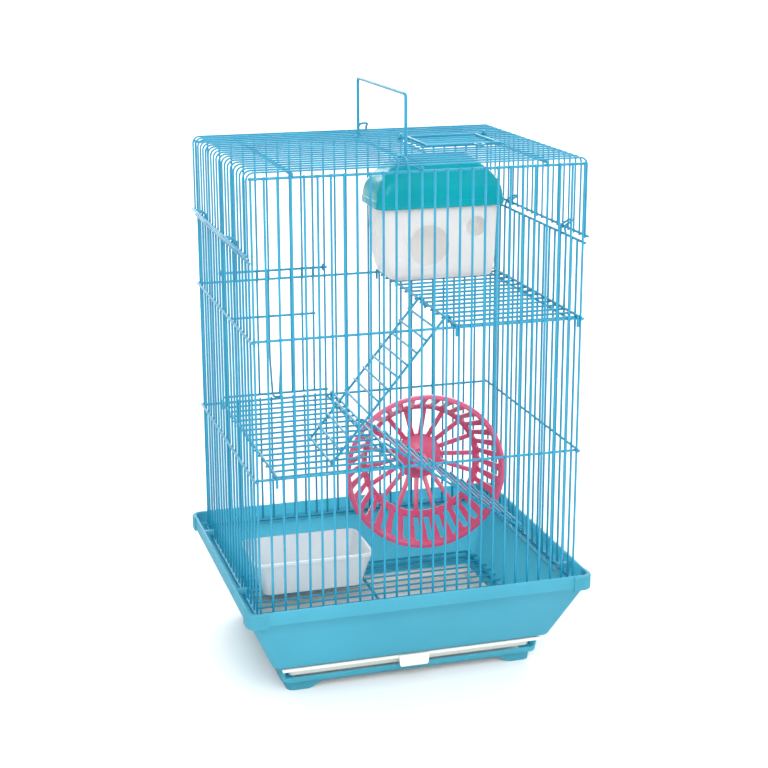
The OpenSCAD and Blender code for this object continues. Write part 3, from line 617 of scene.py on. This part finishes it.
shelf_mat("middle_shelf_wires", middle_x, mid_z, "middle_shelf")
shelf_mat("upper_shelf_wires", upper_x, up_z, "upper_shelf")

# %% [markdown]
# ## Ladders
# Each ladder has two stringers, hooked over a shelf's right or left rail at the top, and twelve
# rungs welded on them. The two are the same part, the upper one turned round and hung steeper.

# %% Two ladders
ladder_l, ladder_w, rung_gap, rungs, hook_tail = 152, 72, 12.7, 12, 8
stringer_past, rung_past = 1.7, 1
stringer_z = 2 * rail + play
rung_z = stringer_z + nest
lower_y, upper_y = -62, -91.5
low_slope = math.radians(35.8)
foot_drop = up_z + shelf_lift - (mid_z + shelf_lift - nest + 2 * thin + 0.3)
up_slope = math.asin(foot_drop / math.hypot(ladder_l, rung_z)) + math.atan2(rung_z, ladder_l)


def ladder(name, body, node, hook_at, slope, facing):
    work = bmesh.new()
    hook = loop_path((0, 0, 0), stringer_z, (1, 0, 0), (0, 0, 1), 90, 90 + math.degrees(low_slope), 10)
    tail_way = Vector((math.sin(low_slope), 0, -math.cos(low_slope)))
    for y in (0, ladder_w):
        path = [Vector((x, 0, stringer_z)) for x in (ladder_l + stringer_past, ladder_l / 2)] + hook
        path.append(hook[-1] + tail_way * hook_tail)
        wire(work, [p + Vector((0, y, 0)) for p in path], rail)
    for k in range(rungs):
        x = ladder_l - k * rung_gap
        start, end = (x, -rung_past, rung_z), (x, ladder_w + rung_past, rung_z)
        wire(work, bowed(start, end, 0.12, 4), slim)
        for y in (0, ladder_w):
            weld_bead(work, (x, y, stringer_z + nest / 2), small_bead)
    turn = Matrix.Rotation(facing, 4, "Z") @ Matrix.Rotation(slope, 4, "Y")
    work.transform(Matrix.Translation(Vector(hook_at)) @ turn)
    piece(name, work, powder_coated_wire, body, "coated_wire", node)


ladder("lower_ladder_wires", "ramp_low", "lower_ramp",
       (middle_x + shelf_w, lower_y, mid_z + shelf_lift), low_slope, 0)
ladder("upper_ladder_wires", "ramp_up", "upper_ramp",
       (upper_x, upper_y + ladder_w, up_z + shelf_lift), up_slope, math.pi)

# %% [markdown]
# ## Floor grille
# Sixteen thin wires on three heavy ones keep the animal out of the litter. The grille lies loose
# on the flange of the tub.

# %% Grille
grille_wires, grille_gap, grille_half, bearer_in = 16, 12.8, 121.2, 5
flange_z = 28.5
grille_heavy_z = flange_z + 0.3 + heavy
grille_z = grille_heavy_z + heavy + thin - melt
grille_y = grille_gap * (grille_wires - 1) / 2
bearers = (bearer_in - grille_half, 0, grille_half - bearer_in)
grille = bmesh.new()
for k in range(grille_wires):
    y = -grille_y + k * grille_gap
    half = grille_half - (2.5 if k in (0, grille_wires - 1) else 0)
    wire(grille, bowed((-half, y, grille_z), (half, y, grille_z), 0.12, 8), slim)
    for x in bearers:
        weld_bead(grille, (x, y, grille_z - bead_drop))
for x in bearers:
    start, end = (x, -grille_y - overrun, grille_heavy_z), (x, grille_y + overrun, grille_heavy_z)
    straight(grille, start, end, heavy, 12)
piece("floor_grille_wires", grille, powder_coated_wire, "cage", "coated_wire", "floor_grille")

# %% [markdown]
# ## Lofting moulded shells
# The tub, tray, bowl and house are all drawn rectangles with round corners, so each is lofted
# from rings. A ring is a rounded rectangle at one height, and the list of rings is the section
# of the wall, from outside over the lip to inside. `rounded_profile` turns the section's corners
# into small arcs: a mould never leaves a knife edge, and these arcs catch the light.

# %% Shell helpers
def rounded_profile(section, steps=4):
    profile = []
    for i, (*point, fillet) in enumerate(section):
        here = Vector(point)
        if fillet == 0:
            profile.append(here)
            continue
        back = Vector(section[i - 1][:-1]) - here
        ahead = Vector(section[(i + 1) % len(section)][:-1]) - here
        start = here + back * min(fillet / back.length, 0.49)
        end = here + ahead * min(fillet / ahead.length, 0.49)
        for k in range(steps + 1):
            t = k / steps
            profile.append(start * (1 - t) ** 2 + here * 2 * t * (1 - t) + end * t ** 2)
    return profile


def ring(half_x, half_y, corner, z, arc_steps=8, side_steps=1):
    points = []
    for turn, (sx, sy) in enumerate(((1, 1), (-1, 1), (-1, -1), (1, -1))):
        centre = Vector((sx * (half_x - corner), sy * (half_y - corner), z))
        for i in range(arc_steps + 1):
            a = math.radians(90 * turn + 90 * i / arc_steps)
            points.append(centre + Vector((math.cos(a), math.sin(a), 0)) * corner)
    if side_steps == 1:
        return points
    full = []
    for i, point in enumerate(points):
        full.append(point)
        if i % (arc_steps + 1) == arc_steps:
            after = points[(i + 1) % len(points)]
            full += [point.lerp(after, j / side_steps) for j in range(1, side_steps)]
    return full


def loft(work, rings, closed=False, cap_first=False, cap_last=False):
    made = [[work.verts.new(p) for p in one] for one in rings]
    for one, two in zip(made, made[1:] + ([made[0]] if closed else [])):
        for k in range(len(one)):
            work.faces.new((one[k - 1], one[k], two[k], two[k - 1]))
    if cap_first:
        work.faces.new(made[0])
    if cap_last:
        work.faces.new(reversed(made[-1]))


def join(work, part):
    mesh = bpy.data.meshes.new("part")
    part.to_mesh(mesh)
    part.free()
    work.from_mesh(mesh)


print("a ring has", len(ring(50, 40, 10, 0)), "points")

# %% [markdown]
# ## Cutting openings
# Openings are easiest to cut as they are milled into the mould: a solid of the opening's shape is
# taken away by a Boolean modifier. The modifier is applied at once, so that only plain mesh is
# left, and a narrow bevel then breaks the new sharp edges.

# %% Cutting helpers
def cut_out(work, cutters, bevel=0.0):
    meshes = []
    for source in [work] + cutters:
        bmesh.ops.recalc_face_normals(source, faces=source.faces)
        mesh = bpy.data.meshes.new("cutting")
        source.to_mesh(mesh)
        source.free()
        meshes.append(bpy.data.objects.new("cutting", mesh))
        bpy.context.scene.collection.objects.link(meshes[-1])
    target = meshes[0]
    for cutter in meshes[1:]:
        step = target.modifiers.new("opening", "BOOLEAN")
        step.operation, step.solver, step.object = "DIFFERENCE", "EXACT", cutter
    if bevel:
        soft = target.modifiers.new("soft_edge", "BEVEL")
        soft.width, soft.segments, soft.angle_limit = bevel, 2, math.radians(50)
    bpy.context.view_layer.update()
    baked = target.evaluated_get(bpy.context.evaluated_depsgraph_get())
    result = bmesh.new()
    result.from_mesh(baked.to_mesh())
    baked.to_mesh_clear()
    for made in meshes:
        bpy.data.objects.remove(made)
    return result


def prism(outline, low, high, axis):
    work = bmesh.new()
    lift = Vector(axis)
    side_a = [work.verts.new(Vector(p) + lift * low) for p in outline]
    side_b = [work.verts.new(Vector(p) + lift * high) for p in outline]
    for k in range(len(outline)):
        work.faces.new((side_a[k - 1], side_a[k], side_b[k], side_b[k - 1]))
    work.faces.new(side_a)
    work.faces.new(reversed(side_b))
    return work


trial_bar = prism([(0, 0, 0), (1, 0, 0), (1, 0, 1), (0, 0, 1)], 0, 5, (0, 1, 0))
print("a four-sided prism has", len(trial_bar.faces), "faces")
trial_bar.free()

# %% [markdown]
# ## The tub
# One moulding: a flat rim band, a sloping body, a turned-in lower edge and a plinth that stands
# on four feet with shallow arches between them. Inside, a ledge carries the wire panels and a
# flange at the bottom carries the grille. Its section is read as inset from the rim, height,
# corner radius and fillet. The arches and the tray's slot are cut afterwards, by prisms that
# reach past the rim; an arch rises from each foot in a soft S.

# %% Tub
rim_x, rim_y, rim_top = 150.1, 126.95, 91.2
wall = 2.2
tub_section = [(0, 79.7, 8, 0.5), (0, rim_top, 8, 0.8), (wall, rim_top, 6, 0.8), (wall, 80.6, 6, 1.2),
               (16.1, 80.0, 3, 0.4), (16.1, 77.8, 3, 0.4), (5.2, 77.8, 5, 1.2),
               (25.4 + wall, 28.9, 7, 2.0), (39.4, 28.5, 3, 0.4), (39.4, 26.2, 3, 0.4),
               (32.6 + wall, 25.8, 5, 0.4), (35 + wall, 11.7, 5, 0.4), (39.2 + wall, 11.7, 4, 0.4),
               (40 + wall, 0, 4, 0.3), (40, 0, 6, 0.5), (39.2, 9.5, 6, 0.3), (35, 9.5, 7, 0.4),
               (32.7, 25.6, 7, 0.4), (25.6, 28.2, 9, 1.0), (2.4, 79.7, 7, 0.4)]
tub = bmesh.new()
tub_rings = [ring(rim_x - inset, rim_y - inset, corner, z)
             for inset, z, corner in rounded_profile(tub_section)]
loft(tub, tub_rings, closed=True)
arch_h, arch_run, foot_l, plinth_x, plinth_y = 6.5, 15, 17, 110.1, 86.95
past_x, past_y = 160, 130


def arch_outline(half, horizontal):
    rise = [(-half + arch_run * t, arch_h * (3 * t ** 2 - 2 * t ** 3)) for t in (i / 10 for i in range(11))]
    outline = [(-half, -1)] + rise + [(-x, z) for x, z in rise[::-1]] + [(half, -1)]
    return [horizontal * x + Vector((0, 0, z)) for x, z in outline]


front_arch = prism(arch_outline(plinth_x - foot_l, Vector((1, 0, 0))), -past_y, past_y, (0, 1, 0))
side_arch = prism(arch_outline(plinth_y - foot_l, Vector((0, 1, 0))), -past_x, past_x, (1, 0, 0))
slot_half, slot_low, slot_high, slot_back_y = 112.9, 13.9, 25.9, -84
slot = prism([(-slot_half, 0, slot_low), (slot_half, 0, slot_low), (slot_half, 0, slot_high),
              (-slot_half, 0, slot_high)], -past_y, slot_back_y, (0, 1, 0))
tub = cut_out(tub, [front_arch, side_arch, slot])
piece("tub_shell", tub, moulded_tub, "cage", "base_plastic", "base_tub")

# %% [markdown]
# ## Corner caps of the tub
# The rim is thicker round its corners, where it takes a knock. Each cap is a section swept round
# the corner. It is modelled on its own and belongs to the same moulding.

# %% Corner caps
cap_long, cap_proud, cap_in, rim_corner, cap_soft = 16, 1.5, 1.2, 8, 0.7
cap_low, cap_high = 77.9, 90.9
caps = bmesh.new()
for sx, sy in ((1, 1), (-1, 1), (-1, -1), (1, -1)):
    outer, inner = [], []
    for proud, side in ((cap_proud, outer), (-cap_in, inner)):
        corner = rim_corner + proud
        centre = Vector((rim_x + proud - corner, rim_y + proud - corner, 0))
        side.append(Vector((rim_x - cap_long, rim_y + proud, 0)))
        side += [centre + Vector((math.sin(a), math.cos(a), 0)) * corner
                 for a in (math.radians(90 * i / 10) for i in range(11))]
        side.append(Vector((rim_x + proud, rim_y - cap_long, 0)))
    columns = []
    for out, back in zip(outer, inner):
        soft = (out - back).normalized() * cap_soft
        section = [(back, cap_low), (out - soft, cap_low), (out, cap_low + cap_soft),
                   (out, cap_high - cap_soft), (out - soft, cap_high), (back, cap_high)]
        columns.append([caps.verts.new((sx * p.x, sy * p.y, z)) for p, z in section])
    for one, two in zip(columns, columns[1:]):
        for k in range(len(one)):
            caps.faces.new((one[k - 1], one[k], two[k], two[k - 1]))
    caps.faces.new(columns[0])
    caps.faces.new(reversed(columns[-1]))
piece("tub_corner_caps", caps, moulded_tub, "cage", "base_plastic", sharp=25)

# %% [markdown]
# ## Lugs and runners
# The lugs clip over the bottom rails of the side panels, and the runners carry the tray. Both are
# plain bars, so one bevelled box draws each of them.

# %% Lugs and runners
def block(work, low, high, bevel=0.5):
    low, high = Vector(low), Vector(high)
    size = high - low
    made = bmesh.ops.create_cube(work, size=1, matrix=Matrix.Translation((low + high) / 2) @
                                 Matrix.Diagonal((*size, 1)))
    edges = list({edge for vert in made["verts"] for edge in vert.link_edges})
    bmesh.ops.bevel(work, geom=edges, offset=bevel, segments=2, profile=0.5, affect="EDGES")


lug_x, lug_half_w, lug_z, lug_spaces = (134.7, 148.9), 2.6, (82.9, 87.5), (-7, 5)
runner_x, runner_half_l, runner_z = (104.8, 112.4), 85.6, (11, 13.5)
details = bmesh.new()
for s in (-1, 1):
    for k in lug_spaces:
        y = s * k * pitch_y
        ends = sorted(s * x for x in lug_x)
        block(details, (ends[0], y - lug_half_w, lug_z[0]), (ends[1], y + lug_half_w, lug_z[1]))
    ends = sorted(s * x for x in runner_x)
    block(details, (ends[0], -runner_half_l, runner_z[0]), (ends[1], runner_half_l, runner_z[1]), 0.3)
piece("tub_lugs_and_runners", details, moulded_tub, "cage", "base_plastic", sharp=25)

# %% [markdown]
# ## The litter tray
# A shallow drawer in white plastic under the grille. A lip along its front closes the slot, is a
# little wider than it, and has a finger tab in the middle. A flat bridge over the slot's edge
# joins the lip to the pan.

# %% Tray
tray_half, tray_front, tray_back, tray_low, tray_high = 110.6, 89.95, 82.75, 13.9, 24.9
tray = bmesh.new()
tray_section = [(2, tray_low, 4, 1.5), (0, tray_high, 5, 0.4), (wall, tray_high, 3, 0.4),
                (wall + 1.8, tray_low + wall, 2, 1.5)]
tray_mid = (tray_back - tray_front) / 2
tray_half_y = (tray_front + tray_back) / 2
tray_rings = [ring(tray_half - inset, tray_half_y - inset, corner, z, 6)
              for inset, z, corner in rounded_profile(tray_section)]
loft(tray, tray_rings, cap_first=True, cap_last=True)
tray.transform(Matrix.Translation((0, tray_mid, 0)))
lip_half, lip_low, lip_taper, lip_y = 116.6, 21.7, 0.8, (-96.6, -94.7)
bridge_half, bridge_z, bridge_y = 109.5, (22.8, 24.8), (-95.2, -88.4)
tab_half, tab_low, tab_top, tab_corner, tab_y = 14, 13.5, 24.6, 1.7, (-97.6, -95.7)


def bar_across(half, foot_half, low, high, y):
    corners = [(-half, 0, high), (half, 0, high), (foot_half, 0, low), (-foot_half, 0, low)]
    return prism(corners, *y, (0, 1, 0))


lip = bar_across(lip_half, lip_half - lip_taper, lip_low, tray_high, lip_y)
bridge = bar_across(bridge_half, bridge_half, *bridge_z, bridge_y)
tab = prism([(-tab_half, 0, tab_top), (tab_half, 0, tab_top), (tab_half - 1, 0, tab_low + tab_corner),
             (tab_half - 2, 0, tab_low), (2 - tab_half, 0, tab_low), (1 - tab_half, 0, tab_low + tab_corner)],
            *tab_y, (0, 1, 0))
for part, soft in ((lip, 0.6), (bridge, 0.2), (tab, 0.8)):
    bmesh.ops.bevel(part, geom=part.edges[:], offset=soft, segments=3, profile=0.5, affect="EDGES")
    join(tray, part)
piece("tray_shell", tray, moulded_tray, "tray", "tray_plastic", "slide_tray", sharp=30)

# %% [markdown]
# ## The running wheel
# A wheel of pink polystyrene, open at the front. Its running surface is a shallow cone of flat
# treads between two rings, and eighteen flat spokes join the rear ring to the hub. The rings and
# the hub are turned shapes, so a section is spun round the axle. The treads are plates whose
# width changes along their length, which leaves slots with round ends between them.

# %% Turning helper and the wheel's place
def turned(work, section, steps=96):
    rings = []
    for i in range(steps):
        a = math.tau * i / steps
        rings.append([work.verts.new((r * math.cos(a), r * math.sin(a), z)) for r, z in section])
    closed = section[0][0] > 0.01 and section[-1][0] > 0.01
    count = len(section)
    for i in range(steps):
        one, two = rings[i - 1], rings[i]
        for k in range(0 if closed else 1, count):
            work.faces.new((one[k - 1], one[k], two[k], two[k - 1]))
    bmesh.ops.remove_doubles(work, verts=work.verts, dist=0.002)


wheel_at, wheel_yaw = (56, 45, 136.4), math.radians(-9.5)
wheel_place = (Matrix.Translation(wheel_at) @ Matrix.Rotation(wheel_yaw, 4, "Z") @
               Matrix.Rotation(math.radians(-90), 4, "X"))
print("wheel axis points", [round(c, 3) for c in (wheel_place.to_3x3() @ Vector((0, 0, 1)))])

# %% [markdown]
# ## Rings and hub
# The front ring is a thick lip that stiffens the wheel, the rear ring a plain band, and the hub a
# disc with a boss that runs on the axle. The hub's section is read as radius and depth behind the
# front. In the rings' sections the first value is how far a point lies inside the ring's radius.

# %% Wheel rings, hub and boss
wheel_r, rear_r, tread_depth, hub_depth, hub_r = 75, 55, 37.7, 50, 22.5
bore_r, boss_r = 2.58, 7
wheel = bmesh.new()
front_ring = [(4, 0.5), (3.5, 0), (1.1, 0), (0.3, 0.4), (0, 1.2), (0, 3.2), (0.4, 4.2), (1.6, 6.2),
              (2.4, 6.7), (4.9, 6.7), (5.5, 6), (4.4, 2)]
rear_ring = [(2.1, 35.6), (-1.3, 35.2), (-1.3, 39.2), (-0.7, 39.7), (3.4, 39.7), (4, 39.1), (4, 38.2)]
turned(wheel, [(wheel_r - inset, depth) for inset, depth in front_ring])
turned(wheel, [(rear_r - inset, depth) for inset, depth in rear_ring])
turned(wheel, [(bore_r, 38), (boss_r - 0.6, 38), (boss_r, 38.6), (boss_r, 43), (9, 46),
               (18, hub_depth), (hub_r - 1.1, hub_depth), (hub_r, hub_depth + 1), (hub_r, hub_depth + 2.4),
               (hub_r - 0.6, hub_depth + 3), (bore_r, hub_depth + 3)])
print("wheel turned parts:", len(wheel.faces), "faces")

# %% [markdown]
# ## Treads and spokes
# A tread is drawn as rows of one flat section, from the front to the back. Where a slot lies
# between two treads the section is narrower, and half an ellipse at each end of the slot makes
# its ends round. The spokes are bevelled bars that lean from the hub to the rear ring.

# %% Treads and spokes
tread_count, tread_half, front_centre, rear_centre = 36, 1.1, wheel_r - 3.1, rear_r - 0.55
tread_start, tread_close = 4, 0.02
slot_w, slot_start, slot_end, slot_round = 5.4, 6.0, 34.4, 2.6
spoke_count, spoke_thick, spoke_half_w, first_spoke = 18, 2.2, 2.2, 0.22
quarter = [slot_round * (1 - math.cos(math.radians(a))) for a in (0, 25, 50, 70, 90)]
depths = [tread_start, 5.6] + [slot_start + d for d in quarter] + [16, 21, 26]
depths += [slot_end - d for d in quarter[::-1]] + [34.8, 37]


def tread_section(depth):
    into = min(depth - slot_start, slot_end - depth, slot_round)
    gap = slot_w / 2 * math.sqrt(max(0, 1 - (1 - into / slot_round) ** 2)) if into > 0 else 0
    r = front_centre + (depth - tread_start) / (tread_depth - 6) * (rear_centre - front_centre)
    half = math.pi * r / tread_count - gap + tread_close
    soft = 0.35 if gap > 0.5 else 0.02
    side, up = half - soft, tread_half - soft
    section = [(-side, tread_half), (side, tread_half), (half, up), (half, -up),
               (side, -tread_half), (-side, -tread_half), (-half, -up), (-half, up)]
    return [Vector((r + rise, across, depth)) for across, rise in section]


for k in range(tread_count):
    turn = Matrix.Rotation(math.tau * k / tread_count, 3, "Z")
    rows = [[wheel.verts.new(turn @ p) for p in tread_section(depth)] for depth in depths]
    for one, two in zip(rows, rows[1:]):
        for j in range(len(one)):
            wheel.faces.new((one[j - 1], one[j], two[j], two[j - 1]))
spoke_run = Vector((rear_r - hub_r - 1, 0, tread_depth + 0.5 - hub_depth))
lean = Matrix.Rotation(math.atan2(-spoke_run.z, spoke_run.x), 4, "Y")
for k in range(spoke_count):
    turn = Matrix.Rotation(math.radians(90 + (k + first_spoke) * 360 / spoke_count), 4, "Z")
    spoke = bmesh.new()
    block(spoke, (0, -spoke_half_w, 0), (spoke_run.length, spoke_half_w, spoke_thick), 0.45)
    spoke.transform(turn @ Matrix.Translation((hub_r - 2, 0, hub_depth + 0.2)) @ lean)
    join(wheel, spoke)
wheel.transform(wheel_place)
piece("wheel_moulding", wheel, moulded_wheel, "wheel", "wheel_plastic", "running_wheel", sharp=30)

# %% [markdown]
# ## Hub cap
# A small polished cap snaps over the boss and hides the axle's end.

# %% Hub cap
cap = bmesh.new()
turned(cap, [(7.1, 39), (7.1, 32.7), (0, 32.7), (0, 31), (5, 31.1), (7.6, 31.7), (8.5, 32.6),
             (8.7, 34), (8.7, 38.6), (8.3, 39)], 64)
cap.transform(wheel_place)
piece("hub_cap_moulding", cap, moulded_cap, "wheel", "cap_plastic", "wheel_hub_cap", sharp=30)

# %% [markdown]
# ## Axle, clip and bracket
# These small parts are hidden behind the wheel, and their CAD shapes are already right, so they
# keep them and only get their real finish: zinc-plated steel and clear polystyrene.

# %% Finishes of the CAD parts that stay
for name, material in (("wheel_axle", zinc_plated_steel), ("axle_clip", zinc_plated_steel),
                       ("wheel_bracket", clear_bracket)):
    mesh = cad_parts[name].data
    mesh.materials.clear()
    mesh.materials.append(material)
    print(name, "now has", mesh.materials[0].name)

# %% [markdown]
# ## The sleeping house
# A white box with a domed teal roof, both ABS. The body narrows towards its floor, which lies a
# little to the right, clear of the shelf's left rail. It has a round doorway and a small window in
# front. The list of rings is read as inset and height: first the outside upwards, then the inside
# downwards at the wall's thickness.

# %% House body
house_at, house_half_x, house_half_y, house_h = Vector((71.5, 77.5, 317.0)), 55.5, 27.5, 70
house_corner, foot_shift, edge_thin = 9, 4, 0.5
house = bmesh.new()
outside = [(14.0, 0.0), (9.6, 0.5), (7.2, 2.0), (5.6, 4.5), (4.4, 8), (3.2, 14), (2.4, 20), (1.9, 26),
           (1.2, 40), (0.6, 55), (0.2, house_h - 1.4), (0.5, house_h - 0.3), (1.1, house_h)]
inside = [(inset + wall, max(z, wall)) for inset, z in outside[-3::-1]]
inside = [(outside[-1][0] + wall - edge_thin, house_h)] + inside
house_rings = []
for inset, z in outside + inside:
    corner = max(3, house_corner - 0.35 * inset)
    shift = Vector((foot_shift * (1 - z / house_h) ** 4, 0, 0))
    around = ring(house_half_x - inset, house_half_y - 0.92 * inset, corner, z, 8, 5)
    house_rings.append([p + shift for p in around])
loft(house, house_rings, cap_first=True, cap_last=True)


def round_cutter(x, z, radius):
    outline = [(x - house_at.x + radius * math.cos(a), 0, z + radius * math.sin(a))
               for a in (math.tau * k / 48 for k in range(48))]
    return prism(outline, -40, 0, (0, 1, 0))


doorway = round_cutter(60.3, 32.6, 18.8)
window = round_cutter(104.5, 48.2, 9.2)
house = cut_out(house, [doorway, window], 0.5)
house.transform(Matrix.Translation(house_at))
piece("house_body_shell", house, moulded_house, "cage", "house_plastic", "house_body")

# %% [markdown]
# ## The roof of the house
# The roof swells outwards like a loaf, which a power curve gives: the higher the ring, the faster
# it is drawn in. A low step runs round above its rim. The inside follows the dome two
# millimetres below it.

# %% House roof
lid_at = house_at + Vector((0, 0, house_h + 0.3))
lid_half_x, lid_half_y, lid_h, step_h, lid_wall = 60.5, 31.5, 41, 4, 2.0
dome_steps, dome_spacing, dome_power = 16, 0.72, 2.15
lid = bmesh.new()
lid_rings = []
for inset, z, corner in ((5.4, -3, 6), (0.5, -3, 9.6), (0.1, -2.6, 10), (0, 3.0, 10), (0.2, 3.5, 10),
                         (0.8, 3.9, 9.6)):
    lid_rings.append(ring(lid_half_x - inset, lid_half_y - inset, corner, z, 8, 5))


def dome_ring(i, inset, draw_x, draw_y, corner, corner_draw, sunk):
    t = (i / dome_steps) ** dome_spacing
    draw = t ** dome_power
    return ring(lid_half_x - inset - draw_x * draw, lid_half_y - inset - draw_y * draw,
                corner - corner_draw * draw, step_h + (lid_h - step_h) * t - sunk, 8, 5)


lid_rings += [dome_ring(i, 1, 29.5, 23.5, 9.4, 4.4, 0) for i in range(1, dome_steps + 1)]
lid_rings += [dome_ring(i, 3, 29, 23, 7.4, 3.4, lid_wall) for i in range(dome_steps - 2, 0, -1)]
lid_rings.append(ring(lid_half_x - 4.6, lid_half_y - 3.6, 9.3, 0.3, 8, 5))
loft(lid, lid_rings)
lid.transform(Matrix.Translation(lid_at))
piece("house_roof_shell", lid, moulded_roof, "house_lid", "roof_plastic", "house_roof")

# %% [markdown]
# ## The bowl
# A milky food bowl with a narrow lip and round corners, standing on the grille. It is one moulded
# shell like the tray, so its section is read in the same way and lofted with the same helpers.

# %% Bowl
bowl_at, bowl_half_x, bowl_half_y = (-54.5, 65, 33.6), 56.75, 35.25
bowl = bmesh.new()
bowl_section = [(10.2, 0, 6, 2.5), (1.6, 31.2, 8, 0.4), (0.1, 31.6, 9, 0.3), (0, 35, 9, 0.6),
                (2.2, 35, 7, 0.6), (3.6, 31, 6.5, 1.0), (10.4 + wall, wall, 4.5, 3.5)]
bowl_rings = [ring(bowl_half_x - inset, bowl_half_y - inset, corner, z, 8)
              for inset, z, corner in rounded_profile(bowl_section)]
loft(bowl, bowl_rings, cap_first=True, cap_last=True)
bowl.transform(Matrix.Translation(bowl_at))
piece("bowl_shell", bowl, milky_bowl, "dish", "dish_plastic", "feeding_dish", sharp=30)

# %% [markdown]
# ## Studio
# The photograph has an even white ground. A wide pale floor, matt like painted card, gives it and
# takes the soft shadow under the tub.

# %% Floor
floor_half_m = 40
floor = bmesh.new()
bmesh.ops.create_grid(floor, x_segments=40, y_segments=40, size=floor_half_m)
floor_mesh = bpy.data.meshes.new("studio_floor")
floor.to_mesh(floor_mesh)
floor.free()
studio_floor = bpy.data.objects.new("studio_floor", floor_mesh)
bpy.context.scene.collection.objects.link(studio_floor)
floor_mesh.materials.append(finish_recipe(
    "matt_white_floor", ("#F6F6F6", "#F8F8F8"), gloss=(0.85, 0.95), relief_mm=6, depth_mm=0.01,
    drift_mm=900, steady={"IOR": 1.3}))
print("floor is", 2 * floor_half_m, "m wide")

# %% [markdown]
# ## Light
# The light is soft and comes from all around, more from the front and from behind. A white world
# gives the even part. Suns with a wide disc stand for the big soft boxes in front and for the lit
# backdrop, whose light comes through the thin plastic from behind. A sun is as strong far away as
# near, so the ground stays even.

# %% World and lamps
world = bpy.data.worlds.new("studio")
bpy.context.scene.world = world
world.use_nodes = True
background = world.node_tree.nodes["Background"]
background.inputs["Color"].default_value = (1, 1, 1, 1)
background.inputs["Strength"].default_value = 0.9


def soft_sun(name, bearing, height, spread, strength):
    data = bpy.data.lights.new(name, "SUN")
    data.angle, data.energy = math.radians(spread), strength
    lamp = bpy.data.objects.new(name, data)
    lamp.rotation_euler = (math.radians(90 - height), 0, math.radians(bearing))
    lamp.location = (0, 0, 2)
    bpy.context.scene.collection.objects.link(lamp)


soft_sun("key_front_left", bearing=-12, height=34, spread=40, strength=2.1)
soft_sun("fill_front_right", bearing=35, height=45, spread=50, strength=0.4)
soft_sun("backdrop", bearing=166, height=24, spread=60, strength=3.0)
print("three soft suns")
